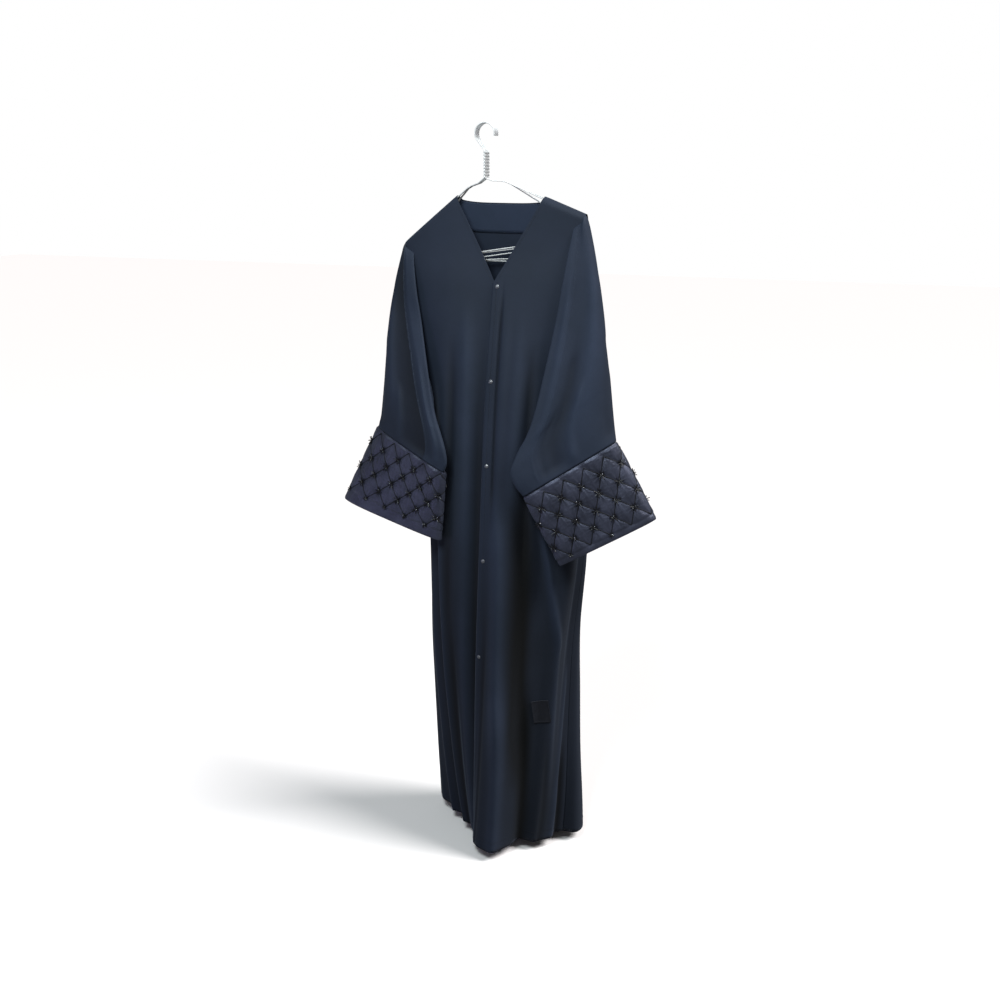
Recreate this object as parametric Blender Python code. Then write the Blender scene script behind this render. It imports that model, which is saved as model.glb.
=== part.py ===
"""An open-fronted abaya cloak hanging on five bunched wire hangers.

World frame: metres, +Z up, the cloak's front faces -Y and +X is the viewer's right.  The origin is
the top of the inside of the hooks, where a rail carries the hangers.  Every cloth piece is a closed
wall: one grid of points across the piece, given its thickness along the cloth's own normal.
"""
import math

import bmesh
import bpy
import numpy as np
from mathutils import Vector
from mathutils.bvhtree import BVHTree

# --- cloth ---------------------------------------------------------------------------------------
WALL = 0.0016                 # crepe with its turned edges
SEAM_GAP = 0.0003             # space between neighbouring pieces
CUFF_WALL = 0.0022            # taffeta cuff with its backing

# --- bunched wire hangers ------------------------------------------------------------------------
WIRE = 0.0023                 # wire diameter, coating included
HANGER_PITCH = 0.0052         # one twisted neck behind the other
HANGER_TILT = math.radians(9.0)   # the cloak's left end hangs lower
HOOK_RADIUS = 0.0200          # inside of the hook
NECK_TOP = -0.052
NECK_FOOT = -0.112
ARM_SHOULDER = 0.040          # flat first stretch of each arm
ARM_FIRST_DROP = 0.007
ARM_SLOPE = math.radians(30.0)
HALF_SPAN = 0.195             # to the outer bend
CORNER_RADIUS = 0.0165
HOOK_TIP = math.radians(-14.0)    # the open hook ends a little below its widest point
HOOK_RETURN = (0.80, 0.62)        # where the hook turns in to the neck, in ring radii
NECK_TWISTS = 1.5
STRAND_GAP = 0.00016              # half the space between the neck's two strands
WIRE_GAP = 0.0003                 # between one hanger's arms and the next one's
ARM_REACHES = (0.016, 0.040, 0.070, 0.120)   # from the neck, along each arm
ARM_CORNER_RUN = 0.028            # the arm stays straight to this far from its end
BAR_REACHES = (0.12, 0.0, -0.12)

# --- cloak ---------------------------------------------------------------------------------------
CENTRE_X = 0.033              # the cloak sits to the right of the hook on its hanger
NECK_HALF = 0.097
NECK_TURN = 0.0015            # the neckline turns down this far inside the neck point
RIDGE_HALF_DEPTH = 0.014      # rounding of the shoulder over the wires
RIDGE_LIFT = 0.0024           # cloth mid-surface above the wire's centre line
V_BOTTOM_Z = -0.315
BACK_NECK_STEP = 0.0045
BACK_NECK_DIP = 0.006
FACING_ROWS = (2, 4)          # rows of the back that the facing covers
FACING_WALL = 0.0012
RIGHT_EDGE = -0.002           # right front's free edge, from the centre line
LEFT_EDGE = 0.020             # left front's free edge, hidden under the right front
LAP_GAP = 0.0045              # left front lies this far behind the right one
HEM_Z = -1.560
UNDERARM_Z = -0.500
OVAL_POWER = 0.88             # squareness of the oval seen from above
DEPTH_POWER = 1.05            # how quickly the fronts fall back beside the closing
SIDE_FORWARD = 0.020          # side seams swing this far forward in the skirt
FOLD_START_Z = -0.330         # folds begin to show below the chest
FOLD_HIP_Z = -0.850
SIDE_SWING_Z = -0.860
SIDE_SEAM_HALF = 0.0004
SHOULDER_SEAM_HALF = 0.0011

# Half widths and depths of the cloak's oval, from its centre line, at each level.
BODY_LEVELS = [
    # level z, right half, left half, front depth, back depth, armhole half depth
    (-0.150, 0.183, 0.214, 0.0145, 0.0145, 0.0120),
    (-0.250, 0.183, 0.214, 0.0290, 0.0200, 0.0140),
    (-0.315, 0.183, 0.207, 0.0440, 0.0260, 0.0150),
    (-0.515, 0.184, 0.178, 0.0840, 0.0420, 0.0000),
    (-0.690, 0.188, 0.165, 0.1080, 0.0560, 0.0000),
    (-0.890, 0.192, 0.160, 0.1280, 0.0700, 0.0000),
    (-1.110, 0.179, 0.159, 0.1430, 0.0860, 0.0000),
    (-1.330, 0.178, 0.160, 0.1500, 0.1020, 0.0000),
    (-1.560, 0.196, 0.170, 0.1560, 0.1180, 0.0000),
]

# Folds of each panel, a row for each crest or trough: share of the panel from its first edge to its
# last, outward push at hip level, and where it stands at the hem in plan from the centre line.
FRONT_RIGHT_FOLDS = [
    # share, hip push, hem x, hem y
    (0.00, -0.004, -0.022, -0.118),
    (0.09, 0.004, -0.008, -0.150),
    (0.20, 0.011, 0.022, -0.164),
    (0.33, 0.004, 0.050, -0.155),
    (0.46, -0.014, 0.072, -0.122),
    (0.58, -0.006, 0.090, -0.095),
    (0.70, 0.010, 0.118, -0.092),
    (0.82, 0.004, 0.136, -0.070),
    (0.92, -0.006, 0.146, -0.040),
    (1.00, 0.000, 0.160, -0.022),
]
FRONT_LEFT_FOLDS = [
    # share, hip push, hem x, hem y
    (0.00, -0.006, 0.010, -0.126),
    (0.12, -0.010, -0.016, -0.108),
    (0.26, 0.006, -0.044, -0.082),
    (0.40, 0.010, -0.068, -0.062),
    (0.52, -0.004, -0.088, -0.036),
    (0.66, 0.004, -0.112, -0.026),
    (0.80, -0.006, -0.134, 0.000),
    (0.91, 0.003, -0.156, 0.014),
    (1.00, 0.000, -0.170, 0.036),
]
BACK_FOLDS = [
    # share, hip push, hem x, hem y
    (0.00, 0.000, 0.163, -0.021),
    (0.06, 0.006, 0.190, -0.018),
    (0.14, 0.000, 0.196, 0.018),
    (0.23, -0.010, 0.168, 0.052),
    (0.32, 0.010, 0.142, 0.100),
    (0.42, -0.010, 0.092, 0.094),
    (0.51, 0.012, 0.050, 0.126),
    (0.60, -0.010, 0.004, 0.104),
    (0.69, 0.012, -0.040, 0.124),
    (0.78, -0.008, -0.084, 0.090),
    (0.87, 0.008, -0.128, 0.092),
    (0.94, -0.002, -0.154, 0.066),
    (1.00, 0.000, -0.170, 0.036),
]

# Guide lines of each sleeve, a row for each station from shoulder to cuff seam: the inner fold that
# lies on the cloak's front (from the centre line), and the sleeve's thickness at that fold and at
# its outer fold.
SLEEVE_STATIONS = {
    "right": [
        # share, inner x, inner y, inner z, inner and outer thickness
        (0.00, 0.1640, -0.0310, -0.2050, 0.007, 0.034),
        (0.20, 0.1520, -0.0420, -0.3070, 0.009, 0.034),
        (0.45, 0.1310, -0.0800, -0.4590, 0.011, 0.042),
        (0.68, 0.1040, -0.1160, -0.6050, 0.016, 0.046),
        (0.82, 0.0720, -0.1360, -0.6830, 0.020, 0.048),
        (0.92, 0.0830, -0.1370, -0.7200, 0.022, 0.050),
        (1.00, 0.1010, -0.1340, -0.7430, 0.024, 0.050),
    ],
    "left": [
        # share, inner x, inner y, inner z, inner and outer thickness
        (0.00, -0.1930, -0.0310, -0.2620, 0.007, 0.034),
        (0.20, -0.1740, -0.0420, -0.3500, 0.009, 0.034),
        (0.45, -0.1430, -0.0800, -0.4700, 0.011, 0.042),
        (0.68, -0.1080, -0.1160, -0.5900, 0.016, 0.046),
        (0.82, -0.0800, -0.1380, -0.6500, 0.020, 0.048),
        (0.92, -0.0730, -0.1430, -0.6850, 0.022, 0.048),
        (1.00, -0.0800, -0.1440, -0.7050, 0.024, 0.046),
    ],
}
# Corners of each cuff from the centre line: the outer and inner ends of its seam and its mouth,
# with the cuff's thickness at the inner and outer folds.
CUFF_CORNERS = {
    "right": {
        "outer_seam": (0.2760, -0.0640, -0.6270), "inner_seam": (0.1010, -0.1340, -0.7430),
        "outer_mouth": (0.3640, -0.0640, -0.7830), "inner_mouth": (0.1800, -0.1260, -0.8850),
        "inner_depth": 0.024, "outer_depth": 0.050,
    },
    "left": {
        "outer_seam": (-0.2680, -0.0800, -0.6310), "inner_seam": (-0.0800, -0.1440, -0.7050),
        "outer_mouth": (-0.3520, -0.0900, -0.8020), "inner_mouth": (-0.0900, -0.1460, -0.8550),
        "inner_depth": 0.024, "outer_depth": 0.046,
    },
}
SLEEVE_CAP = 0.012            # the outer fold stands this far beyond the shoulder's end
SLEEVE_LIFT = 0.0076          # the layer under the inner fold lies this far off the front
BEHIND_FOLD = (0.840, 0.885, 0.930, 0.972)   # its columns, as shares of the closed ring
EDGE_SPACING = 0.0055         # between the two edges of the underarm seam
SLEEVE_CLEAR = 0.0100         # between the front and the sleeve's inner fold
UNDERARM_SHARE = 0.5          # of the sleeve's length, down to the underarm
ARMHOLE_STEP = 0.0008         # the sleeve's edges stand this far beyond the armhole's, past the seam
ARMHOLE_FORWARD = 0.0026      # the front one also this far forward
CUFF_SEAM = 0.0011            # from the sleeve's edge to the cuff's
CUFF_DIAMONDS = 10            # around the cuff
CUFF_DIAMOND_ROWS = 5
CUFF_BORDER = 0.115           # plain share of the cuff at its mouth
CUFF_HEADING = 0.035          # plain share of the cuff at its seam
CUFF_PUFF = 0.0034            # how far a diamond stands out from its cord lines

# Snap caps down the closing, by level.
SNAP_LEVELS = [-0.323, -0.515, -0.690, -0.893, -1.108]
SNAP_DIAMETER = 0.0085
SNAP_HEIGHT = 0.0024
SNAP_INSET = 0.011

LABEL_SIZE = (0.038, 0.052)
LABEL_CENTRE = (0.078, -1.236)
LABEL_TURN = math.radians(8.0)
LABEL_FACING = math.radians(25.0)   # it faces forward and to the right
LABEL_WALL = 0.0012
LABEL_LIFT = 0.0022           # middle of the patch above the front's outer face

FRONT_COLUMNS, NECK_COLUMNS, BACK_SIDE_COLUMNS, BACK_NECK_COLUMNS, BODY_ROWS = 13, 5, 7, 8, 24
SLEEVE_COLUMNS = 26


def clear_scene():
    """Remove every object so that only the cloak and its hangers are left."""
    for item in list(bpy.data.objects):
        bpy.data.objects.remove(item, do_unlink=True)


def material(name, colour, roughness, metallic=0.0):
    """Principled material of one piece."""
    mat = bpy.data.materials.new(name)
    mat.use_nodes = True
    shader = mat.node_tree.nodes["Principled BSDF"]
    shader.inputs["Base Color"].default_value = (*colour, 1.0)
    shader.inputs["Roughness"].default_value = roughness
    shader.inputs["Metallic"].default_value = metallic
    return mat


# --- curves and grids ----------------------------------------------------------------------------
def smooth(value):
    """Ease from 0 to 1."""
    value = np.clip(value, 0.0, 1.0)
    return value * value * (3.0 - 2.0 * value)


def spline(stations, values, at):
    """Monotone-friendly cubic through the rows of `values` at `stations`, read at `at`."""
    stations = np.asarray(stations, float)
    values = np.asarray(values, float)
    at = float(np.clip(at, min(stations[0], stations[-1]), max(stations[0], stations[-1])))
    if stations[0] > stations[-1]:
        stations, values = stations[::-1], values[::-1]
    i = int(np.clip(np.searchsorted(stations, at) - 1, 0, len(stations) - 2))
    slopes = np.diff(values, axis=0) / np.diff(stations).reshape(-1, *([1] * (values.ndim - 1)))

    def tangent(k):
        if k == 0:
            return slopes[0]
        if k == len(stations) - 1:
            return slopes[-1]
        return (slopes[k - 1] + slopes[k]) / 2

    step = stations[i + 1] - stations[i]
    u = (at - stations[i]) / step
    return ((2 * u**3 - 3 * u**2 + 1) * values[i] + (u**3 - 2 * u**2 + u) * step * tangent(i)
            + (3 * u**2 - 2 * u**3) * values[i + 1] + (u**3 - u**2) * step * tangent(i + 1))


def resample(points, count):
    """`count` points evenly spaced along the smooth curve through `points`."""
    points = np.asarray(points, float)
    lengths = np.concatenate([[0.0], np.cumsum(np.linalg.norm(np.diff(points, axis=0), axis=1))])
    fine = np.array([spline(lengths, points, s) for s in np.linspace(0, lengths[-1], 8 * count)])
    run = np.concatenate([[0.0], np.cumsum(np.linalg.norm(np.diff(fine, axis=0), axis=1))])
    wanted = np.linspace(0.0, run[-1], count)
    return np.stack([np.interp(wanted, run, fine[:, k]) for k in range(3)], axis=1)


def grid_normals(grid, wrap):
    """Unit normal at each point of a grid, rows first; `wrap` joins its last column to its first."""
    if wrap:
        padded = np.concatenate([grid[:, -1:], grid, grid[:, :1]], axis=1)
        across = (padded[:, 2:] - padded[:, :-2])
    else:
        across = np.gradient(grid, axis=1)
    down = np.gradient(grid, axis=0)
    normals = np.cross(across, down)
    return normals / np.maximum(np.linalg.norm(normals, axis=2, keepdims=True), 1e-12)


def cloth_wall(name, outer, inner, mat, wrap=False):
    """Closed wall between an outer and an inner grid of points, cut into matching triangles."""
    rows, columns = outer.shape[:2]
    spans = columns if wrap else columns - 1
    bm = bmesh.new()
    layers = [[[bm.verts.new(p) for p in row] for row in layer] for layer in (outer, inner)]

    def quad(a, b, c, d, rising):
        if rising:
            bm.faces.new((a, b, c))
            bm.faces.new((a, c, d))
        else:
            bm.faces.new((a, b, d))
            bm.faces.new((b, c, d))

    for layer, vertices in enumerate(layers):
        for i in range(rows - 1):
            for j in range(spans):
                k = (j + 1) % columns
                corners = (vertices[i][j], vertices[i][k], vertices[i + 1][k], vertices[i + 1][j])
                rising = (i - j) % 4 == 0 or (i + j) % 4 in (0, 1)
                if (i + j + 1) % 4 == 0:
                    rising = False
                quad(*corners, rising)
    front, back = layers
    for i in (0, rows - 1):
        for j in range(spans):
            k = (j + 1) % columns
            quad(front[i][j], front[i][k], back[i][k], back[i][j], True)
    if not wrap:
        for j in (0, columns - 1):
            for i in range(rows - 1):
                quad(front[i][j], front[i + 1][j], back[i + 1][j], back[i][j], True)
    bmesh.ops.recalc_face_normals(bm, faces=bm.faces)
    mesh = bpy.data.meshes.new(name)
    bm.to_mesh(mesh)
    bm.free()
    mesh.shade_smooth()
    mesh.set_sharp_from_angle(angle=math.radians(60))
    mesh.materials.append(mat)
    piece = bpy.data.objects.new(name, mesh)
    bpy.context.scene.collection.objects.link(piece)
    return piece


def sheet(name, grid, thickness, mat, seams=()):
    """Cloth wall centred on a grid; the edges named in `seams` end in faces that look along Y."""
    normals = grid_normals(grid, False)
    edges = {"first side": np.s_[:, 0], "last side": np.s_[:, -1]}
    for seam in seams:
        along_seam = normals[edges[seam]].copy()
        along_seam[:, 1] = 0.0
        normals[edges[seam]] = along_seam / np.linalg.norm(along_seam, axis=1, keepdims=True)
    offset = normals * thickness / 2
    return cloth_wall(name, grid + offset, grid - offset, mat)


# --- hanger lines --------------------------------------------------------------------------------
def tilted(x, z):
    """Point of a hanger's own plane, measured from the foot of its neck, in world x and z."""
    return (x * math.cos(HANGER_TILT) - z * math.sin(HANGER_TILT),
            NECK_FOOT + x * math.sin(HANGER_TILT) + z * math.cos(HANGER_TILT))


def arm_drop(x, slope=ARM_SLOPE):
    """Drop of an arm below the neck's foot at distance x from it."""
    x = abs(x)
    if x < ARM_SHOULDER:
        return -ARM_FIRST_DROP * x / ARM_SHOULDER
    return -ARM_FIRST_DROP - (x - ARM_SHOULDER) * math.tan(slope)


def ridge_z(world_x):
    """Height of the shoulder line over the wires at a world x."""
    low, high = -HALF_SPAN * 1.3, HALF_SPAN * 1.3
    for _ in range(40):
        middle = (low + high) / 2
        if tilted(middle, arm_drop(middle))[0] < world_x:
            low = middle
        else:
            high = middle
    return tilted(low, arm_drop(low))[1] + RIDGE_LIFT


# --- cloak body ----------------------------------------------------------------------------------
def body_level(z):
    """Right half, left half, front depth, back depth and armhole half depth at a level."""
    return spline([row[0] for row in BODY_LEVELS], [row[1:] for row in BODY_LEVELS], z)


def oval_point(angle, z, back=False):
    """Point of the plain oval at an angle from the centre line; positive angles are on the right."""
    right, left, front_depth, back_depth, armhole = body_level(z)
    half = right if angle > 0 else left
    x = half * math.copysign(abs(math.sin(angle)) ** OVAL_POWER, angle)
    depth = back_depth if back else front_depth
    bulge = max(math.cos(angle), 0.0) ** DEPTH_POWER
    armhole = max(armhole, 0.0)
    y = armhole + (depth - armhole) * bulge
    shoulder = ridge_z(CENTRE_X + x)
    sunk = np.clip((shoulder - z) / RIDGE_HALF_DEPTH, 0.0, 1.0)
    y *= (1.0 - (1.0 - sunk) ** 2.4) ** (1 / 2.4)
    side_shift = -SIDE_FORWARD * smooth((SIDE_SWING_Z - z) / 0.3)
    y_world = (y if back else -y) + side_shift * (1.0 - bulge)
    return np.array([CENTRE_X + x, y_world, z])


def fold_values(folds, share):
    """Hip push and hem position of a panel's folds at a share of its width."""
    return spline([row[0] for row in folds], [row[1:] for row in folds], share)


def body_point(angle, share, z, folds, back=False, inset=0.0):
    """Point of a panel: the oval, then its folds, which grow from the chest down to the hem."""
    point = oval_point(angle, z, back)
    ahead = oval_point(angle + 0.02, z, back)
    behind = oval_point(angle - 0.02, z, back)
    along = ahead - behind
    outward = np.array([along[1], -along[0], 0.0])
    if back:
        outward = -outward
    outward /= max(np.linalg.norm(outward), 1e-9)
    push, hem_x, hem_y = fold_values(folds, share)
    grown = smooth((FOLD_START_Z - z) / (FOLD_START_Z - FOLD_HIP_Z))
    settled = np.clip((FOLD_HIP_Z + 0.05 - z) / (FOLD_HIP_Z + 0.05 - HEM_Z), 0.0, 1.0) ** 1.7
    folded = point + outward * push * grown
    hem = np.array([CENTRE_X + hem_x, hem_y, z])
    return folded * (1.0 - settled) + hem * settled - outward * inset


def edge_angle(offset, half):
    """Angle of the oval at which it stands `offset` from the centre line."""
    return math.copysign(math.asin(min(abs(offset / half), 1.0) ** (1 / OVAL_POWER)), offset)


def v_neck_z(offset):
    """Height of the V neck's edge at a distance from the centre line."""
    top = ridge_z(CENTRE_X + math.copysign(NECK_HALF, offset))
    return V_BOTTOM_Z + (top - V_BOTTOM_Z) * abs(offset) / NECK_HALF


def column_rows(top, bottom=HEM_Z, rows=BODY_ROWS):
    """Levels down one column: close together over the shoulder, then even."""
    first = [0.0, 0.0022, 0.0075, 0.0170]
    rest = np.linspace(0.0, 1.0, rows - len(first) + 2)[1:] ** 1.12
    levels = [top - d for d in first]
    return levels + [levels[-1] + (bottom - levels[-1]) * share for share in rest]


def front_grid(side):
    """Grid of one front, from its free edge to the side seam."""
    sign = 1 if side == "right" else -1
    folds = FRONT_RIGHT_FOLDS if side == "right" else FRONT_LEFT_FOLDS
    half = BODY_LEVELS[1][1] if side == "right" else BODY_LEVELS[1][2]
    edge = RIGHT_EDGE if side == "right" else LEFT_EDGE
    first = edge_angle(edge, half)
    neck = edge_angle(sign * NECK_HALF, half)
    last = sign * math.pi / 2
    beside_neck = edge_angle(sign * (NECK_HALF - NECK_TURN), half)
    angles = list(np.linspace(first, beside_neck, NECK_COLUMNS))
    angles += list(np.linspace(neck, last, FRONT_COLUMNS - NECK_COLUMNS))
    columns = []
    for angle in angles:
        x = oval_point(angle, -0.2)[0] - CENTRE_X
        if abs(x) < NECK_HALF - NECK_TURN / 2:
            top = v_neck_z(x) if x * sign > 0 else V_BOTTOM_Z - abs(x) * 1.6
            top = min(top, ridge_z(CENTRE_X + x) - NECK_TURN * 2)
        else:
            top = ridge_z(CENTRE_X + x)
        share = (angle - first) / (last - first)
        inset = LAP_GAP * (1.0 - smooth((share - 0.05) / 0.3)) if side == "left" else 0.0
        levels = column_rows(top)
        columns.append([body_point(angle, share, z, folds, inset=inset) for z in levels])
    grid = np.array(columns).transpose(1, 0, 2)
    grid[0, :, 1] = np.minimum(grid[0, :, 1], -SHOULDER_SEAM_HALF)
    grid[:, -1, 1] -= SIDE_SEAM_HALF
    return grid


def back_angles():
    """Angles of the back's columns, from the right side seam to the left one."""
    neck = edge_angle(NECK_HALF, 0.2)
    beside_neck = edge_angle(NECK_HALF - NECK_TURN, 0.2)
    side = np.linspace(math.pi / 2, neck, BACK_SIDE_COLUMNS)
    middle = np.linspace(beside_neck, -beside_neck, BACK_NECK_COLUMNS)
    return list(side) + list(middle) + list(-side[::-1])


def back_top(angle):
    """Height of the back's upper edge: the shoulder line, or the shallow back neck."""
    x = oval_point(angle, -0.2, back=True)[0] - CENTRE_X
    if abs(x) > NECK_HALF - NECK_TURN / 2:
        return ridge_z(CENTRE_X + x)
    left, right = ridge_z(CENTRE_X - NECK_HALF), ridge_z(CENTRE_X + NECK_HALF)
    level = left + (right - left) * (x + NECK_HALF) / (2 * NECK_HALF)
    return level - BACK_NECK_STEP - BACK_NECK_DIP * (1.0 - (x / NECK_HALF) ** 4)


def back_grid():
    """Grid of the back, from the right side seam to the left one."""
    columns = []
    for angle in back_angles():
        share = (math.pi / 2 - angle) / math.pi
        levels = column_rows(back_top(angle))
        columns.append([body_point(angle, share, z, BACK_FOLDS, back=True) for z in levels])
    grid = np.array(columns).transpose(1, 0, 2)
    grid[0, :, 1] = np.maximum(grid[0, :, 1], SHOULDER_SEAM_HALF)
    for edge in (0, -1):
        grid[:, edge, 1] += SIDE_SEAM_HALF
    return grid


def neck_facing_grid(back):
    """Grid of the facing inside the back neck, made from the back's own points, moved in."""
    angles = back_angles()
    half_angle = edge_angle(NECK_HALF - NECK_TURN / 2, 0.2)
    inside = [j for j, angle in enumerate(angles) if abs(angle) < half_angle]
    rows = slice(FACING_ROWS[0], FACING_ROWS[1] + 1)
    inward = grid_normals(back, False)
    inward = inward * -np.sign(inward[:, :, 1:2])
    moved = back + inward * (WALL / 2 + FACING_WALL / 2 + SEAM_GAP + 0.0001)
    return moved[rows, inside[0]:inside[-1] + 1]


# --- sleeves and cuffs ---------------------------------------------------------------------------
def flat_ring(inner, outer, inner_depth, outer_depth, count):
    """Flattened ring from the back of the inner fold, round it, across the front and back again."""
    inner, outer = np.asarray(inner), np.asarray(outer)
    across = outer - inner
    width = np.linalg.norm(across)
    across = across / width
    behind = np.array([0.0, 1.0, 0.0])
    behind = behind - across * across.dot(behind)
    behind /= np.linalg.norm(behind)
    points = []
    for turn in np.linspace(0.0, 2 * math.pi, count * 8 + 1):
        c, s = -math.cos(turn), -math.sin(turn)
        along = 0.5 + 0.5 * math.copysign(abs(c) ** 0.62, c)
        depth = inner_depth + (outer_depth - inner_depth) * along
        aside = 0.5 + 0.5 * math.copysign(abs(s) ** 0.80, s)
        points.append(inner + across * along * width + behind * aside * depth)
    points = np.array(points)
    run = np.concatenate([[0.0], np.cumsum(np.linalg.norm(np.diff(points, axis=0), axis=1))])
    wanted = np.linspace(0.0, 1.0, count + 1)[:-1] * run[-1]
    return np.stack([np.interp(wanted, run, points[:, k]) for k in range(3)], axis=1)


def from_centre(point):
    """World point of one given from the cloak's centre line."""
    return np.array([point[0] + CENTRE_X, point[1], point[2]])


def armhole_edge(side, z, back):
    """Side edge of the front or back at a level."""
    sign = 1 if side == "right" else -1
    folds = BACK_FOLDS if back else (FRONT_RIGHT_FOLDS if side == "right" else FRONT_LEFT_FOLDS)
    share = 1.0 if not back or side == "left" else 0.0
    return body_point(sign * math.pi / 2, share, z, folds, back=back)


def front_angle(side, x, z):
    """Angle of a front at a distance from the centre line and a level."""
    sign = 1 if side == "right" else -1
    half = body_level(z)[0 if side == "right" else 1]
    return sign * abs(edge_angle(x, half))


def on_front(side, angle, z, lift):
    """Point a little in front of a front, over its folds."""
    sign = 1 if side == "right" else -1
    folds = FRONT_RIGHT_FOLDS if side == "right" else FRONT_LEFT_FOLDS
    share = min(abs(angle) / (math.pi / 2), 1.0)
    point = body_point(angle, share, z, folds)
    beside = body_point(angle - sign * 0.06, share - 0.04, z, folds)
    along = (point - beside) * sign
    outward = np.array([along[1], -along[0], 0.0])
    outward = outward / np.linalg.norm(outward) + np.array([0.0, -1.0, 0.0])
    return point + outward / np.linalg.norm(outward) * lift


def sleeve_grid(side):
    """Grid of a sleeve: rows from shoulder to cuff seam, columns round it from its underarm seam.

    Down to the underarm its two edges follow the armhole.  Below, they meet in the underarm seam,
    which swings forward over the cloak's front to the inner fold.
    """
    sign = 1 if side == "right" else -1
    stations = SLEEVE_STATIONS[side]
    half = BODY_LEVELS[0][1] if side == "right" else BODY_LEVELS[0][2]
    tip_x = CENTRE_X + sign * half
    tip = np.array([tip_x + sign * SLEEVE_CAP, 0.0, ridge_z(tip_x) - 0.0030])
    outer_end = from_centre(CUFF_CORNERS[side]["outer_seam"])
    edge_step = np.array([sign * (WALL + SEAM_GAP + ARMHOLE_STEP), 0.0, 0.0])
    rows = []
    shares = [*np.linspace(0.0, UNDERARM_SHARE, 6), *np.linspace(0.54, 0.76, 6), *np.linspace(0.84, 1.0, 3)]
    for t in shares:
        row = spline([s[0] for s in stations], [s[1:] for s in stations], t)
        inner, inner_depth, outer_depth = from_centre(row[:3]), row[3], row[4]
        fold_angle = front_angle(side, row[0], inner[2])
        behind = on_front(side, fold_angle, inner[2], 0.0)
        inner[1] = min(inner[1], behind[1] - inner_depth - SLEEVE_CLEAR)
        outer = tip + (outer_end - tip) * t
        outer[0] += sign * 0.006 * math.sin(math.pi * t)
        outer[1] -= outer_depth * 0.6 * (1 - t)
        loop = flat_ring(inner, outer, inner_depth, outer_depth, 4 * SLEEVE_COLUMNS)
        size = len(loop)
        opened = 1.0 - smooth((t - UNDERARM_SHARE) / 0.2)
        closed = float(smooth((t - 0.6) / 0.15))
        level = tip[2] + (UNDERARM_Z - tip[2]) * min(t / UNDERARM_SHARE, 1.0)
        start_angle = sign * math.pi / 2 * opened + fold_angle * (1 - opened)
        start_z = level * opened + inner[2] * (1 - opened)
        lead = []
        for k, share in enumerate(BEHIND_FOLD):
            spot = 0.8 * k / (len(BEHIND_FOLD) - 2)
            angle = start_angle + (fold_angle - start_angle) * spot
            over = on_front(side, angle, start_z + (inner[2] - start_z) * spot, SLEEVE_LIFT)
            if t <= UNDERARM_SHARE and k == 0:
                over = armhole_edge(side, level, False) + edge_step * (1.0 + t)
                over[1] -= ARMHOLE_FORWARD + 0.004 * t
            settled = 1.0 if k == len(BEHIND_FOLD) - 1 else closed
            lead.append(over * (1 - settled) + loop[int(size * share)] * settled)
        if t <= UNDERARM_SHARE:
            end = armhole_edge(side, level, True) + edge_step * (1.0 + 4 * t)
        else:
            outside = SLEEVE_LIFT + 0.004 * opened**3
            onward = on_front(side, start_angle + sign * 0.02, start_z, outside) - lead[0]
            end = lead[0] + onward / np.linalg.norm(onward) * EDGE_SPACING
        end = end * (1 - closed) + loop[int(size * (BEHIND_FOLD[0] - 0.007))] * closed
        ring_end = 0.50 + 0.12 * min(t / 0.3, 1.0)
        ring = [loop[int(size * s)] for s in np.linspace(0.012, ring_end, 18)]
        trail = resample([ring[-2], ring[-1], end], 5)[1:]
        rows.append(np.concatenate([lead, resample(ring, SLEEVE_COLUMNS - 8), trail]))
    back_off = rows[-2] - rows[-1]
    rows[-1] = rows[-1] + back_off / np.linalg.norm(back_off, axis=1, keepdims=True) * CUFF_SEAM
    return np.array(rows)


def cuff_loops(side, share):
    """Inner and outer ends and depths of a cuff's ring at a share of its length."""
    corners = CUFF_CORNERS[side]
    inner = from_centre(corners["inner_seam"]) * (1 - share) + from_centre(corners["inner_mouth"]) * share
    outer = from_centre(corners["outer_seam"]) * (1 - share) + from_centre(corners["outer_mouth"]) * share
    return inner, outer, corners["inner_depth"], corners["outer_depth"]


def cuff_grids(side):
    """Plain inner grid and quilted outer grid of a cuff."""
    columns = 4 * CUFF_DIAMONDS
    lattice_rows = 2 * CUFF_DIAMOND_ROWS
    shares = [0.0]
    shares += list(np.linspace(CUFF_HEADING, 1.0 - CUFF_BORDER, lattice_rows + 1))
    shares += [1.0 - CUFF_BORDER / 2, 1.0]
    inner = []
    for share in shares:
        inner.append(flat_ring(*cuff_loops(side, share), columns))
    inner = np.array(inner)
    normals = grid_normals(inner, True)
    centre = inner.mean(axis=1, keepdims=True)
    if np.sum(normals * (inner - centre)) < 0:
        normals = -normals
    inner = inner - normals * CUFF_WALL / 2
    height = np.zeros(inner.shape[:2])
    for i in range(lattice_rows + 1):
        for j in range(columns):
            on_line = (i + j) % 4 == 0 or (i - j) % 4 == 0
            at_middle = i % 2 == 0 and j % 2 == 0 and not on_line
            edge = 0.6 if i in (0, lattice_rows) else 1.0
            height[i + 1, j] = 0.0 if on_line else (edge if at_middle else 0.62 * edge)
    outer = inner + normals * (CUFF_WALL + CUFF_PUFF * height[:, :, None])
    return inner, outer


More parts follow.
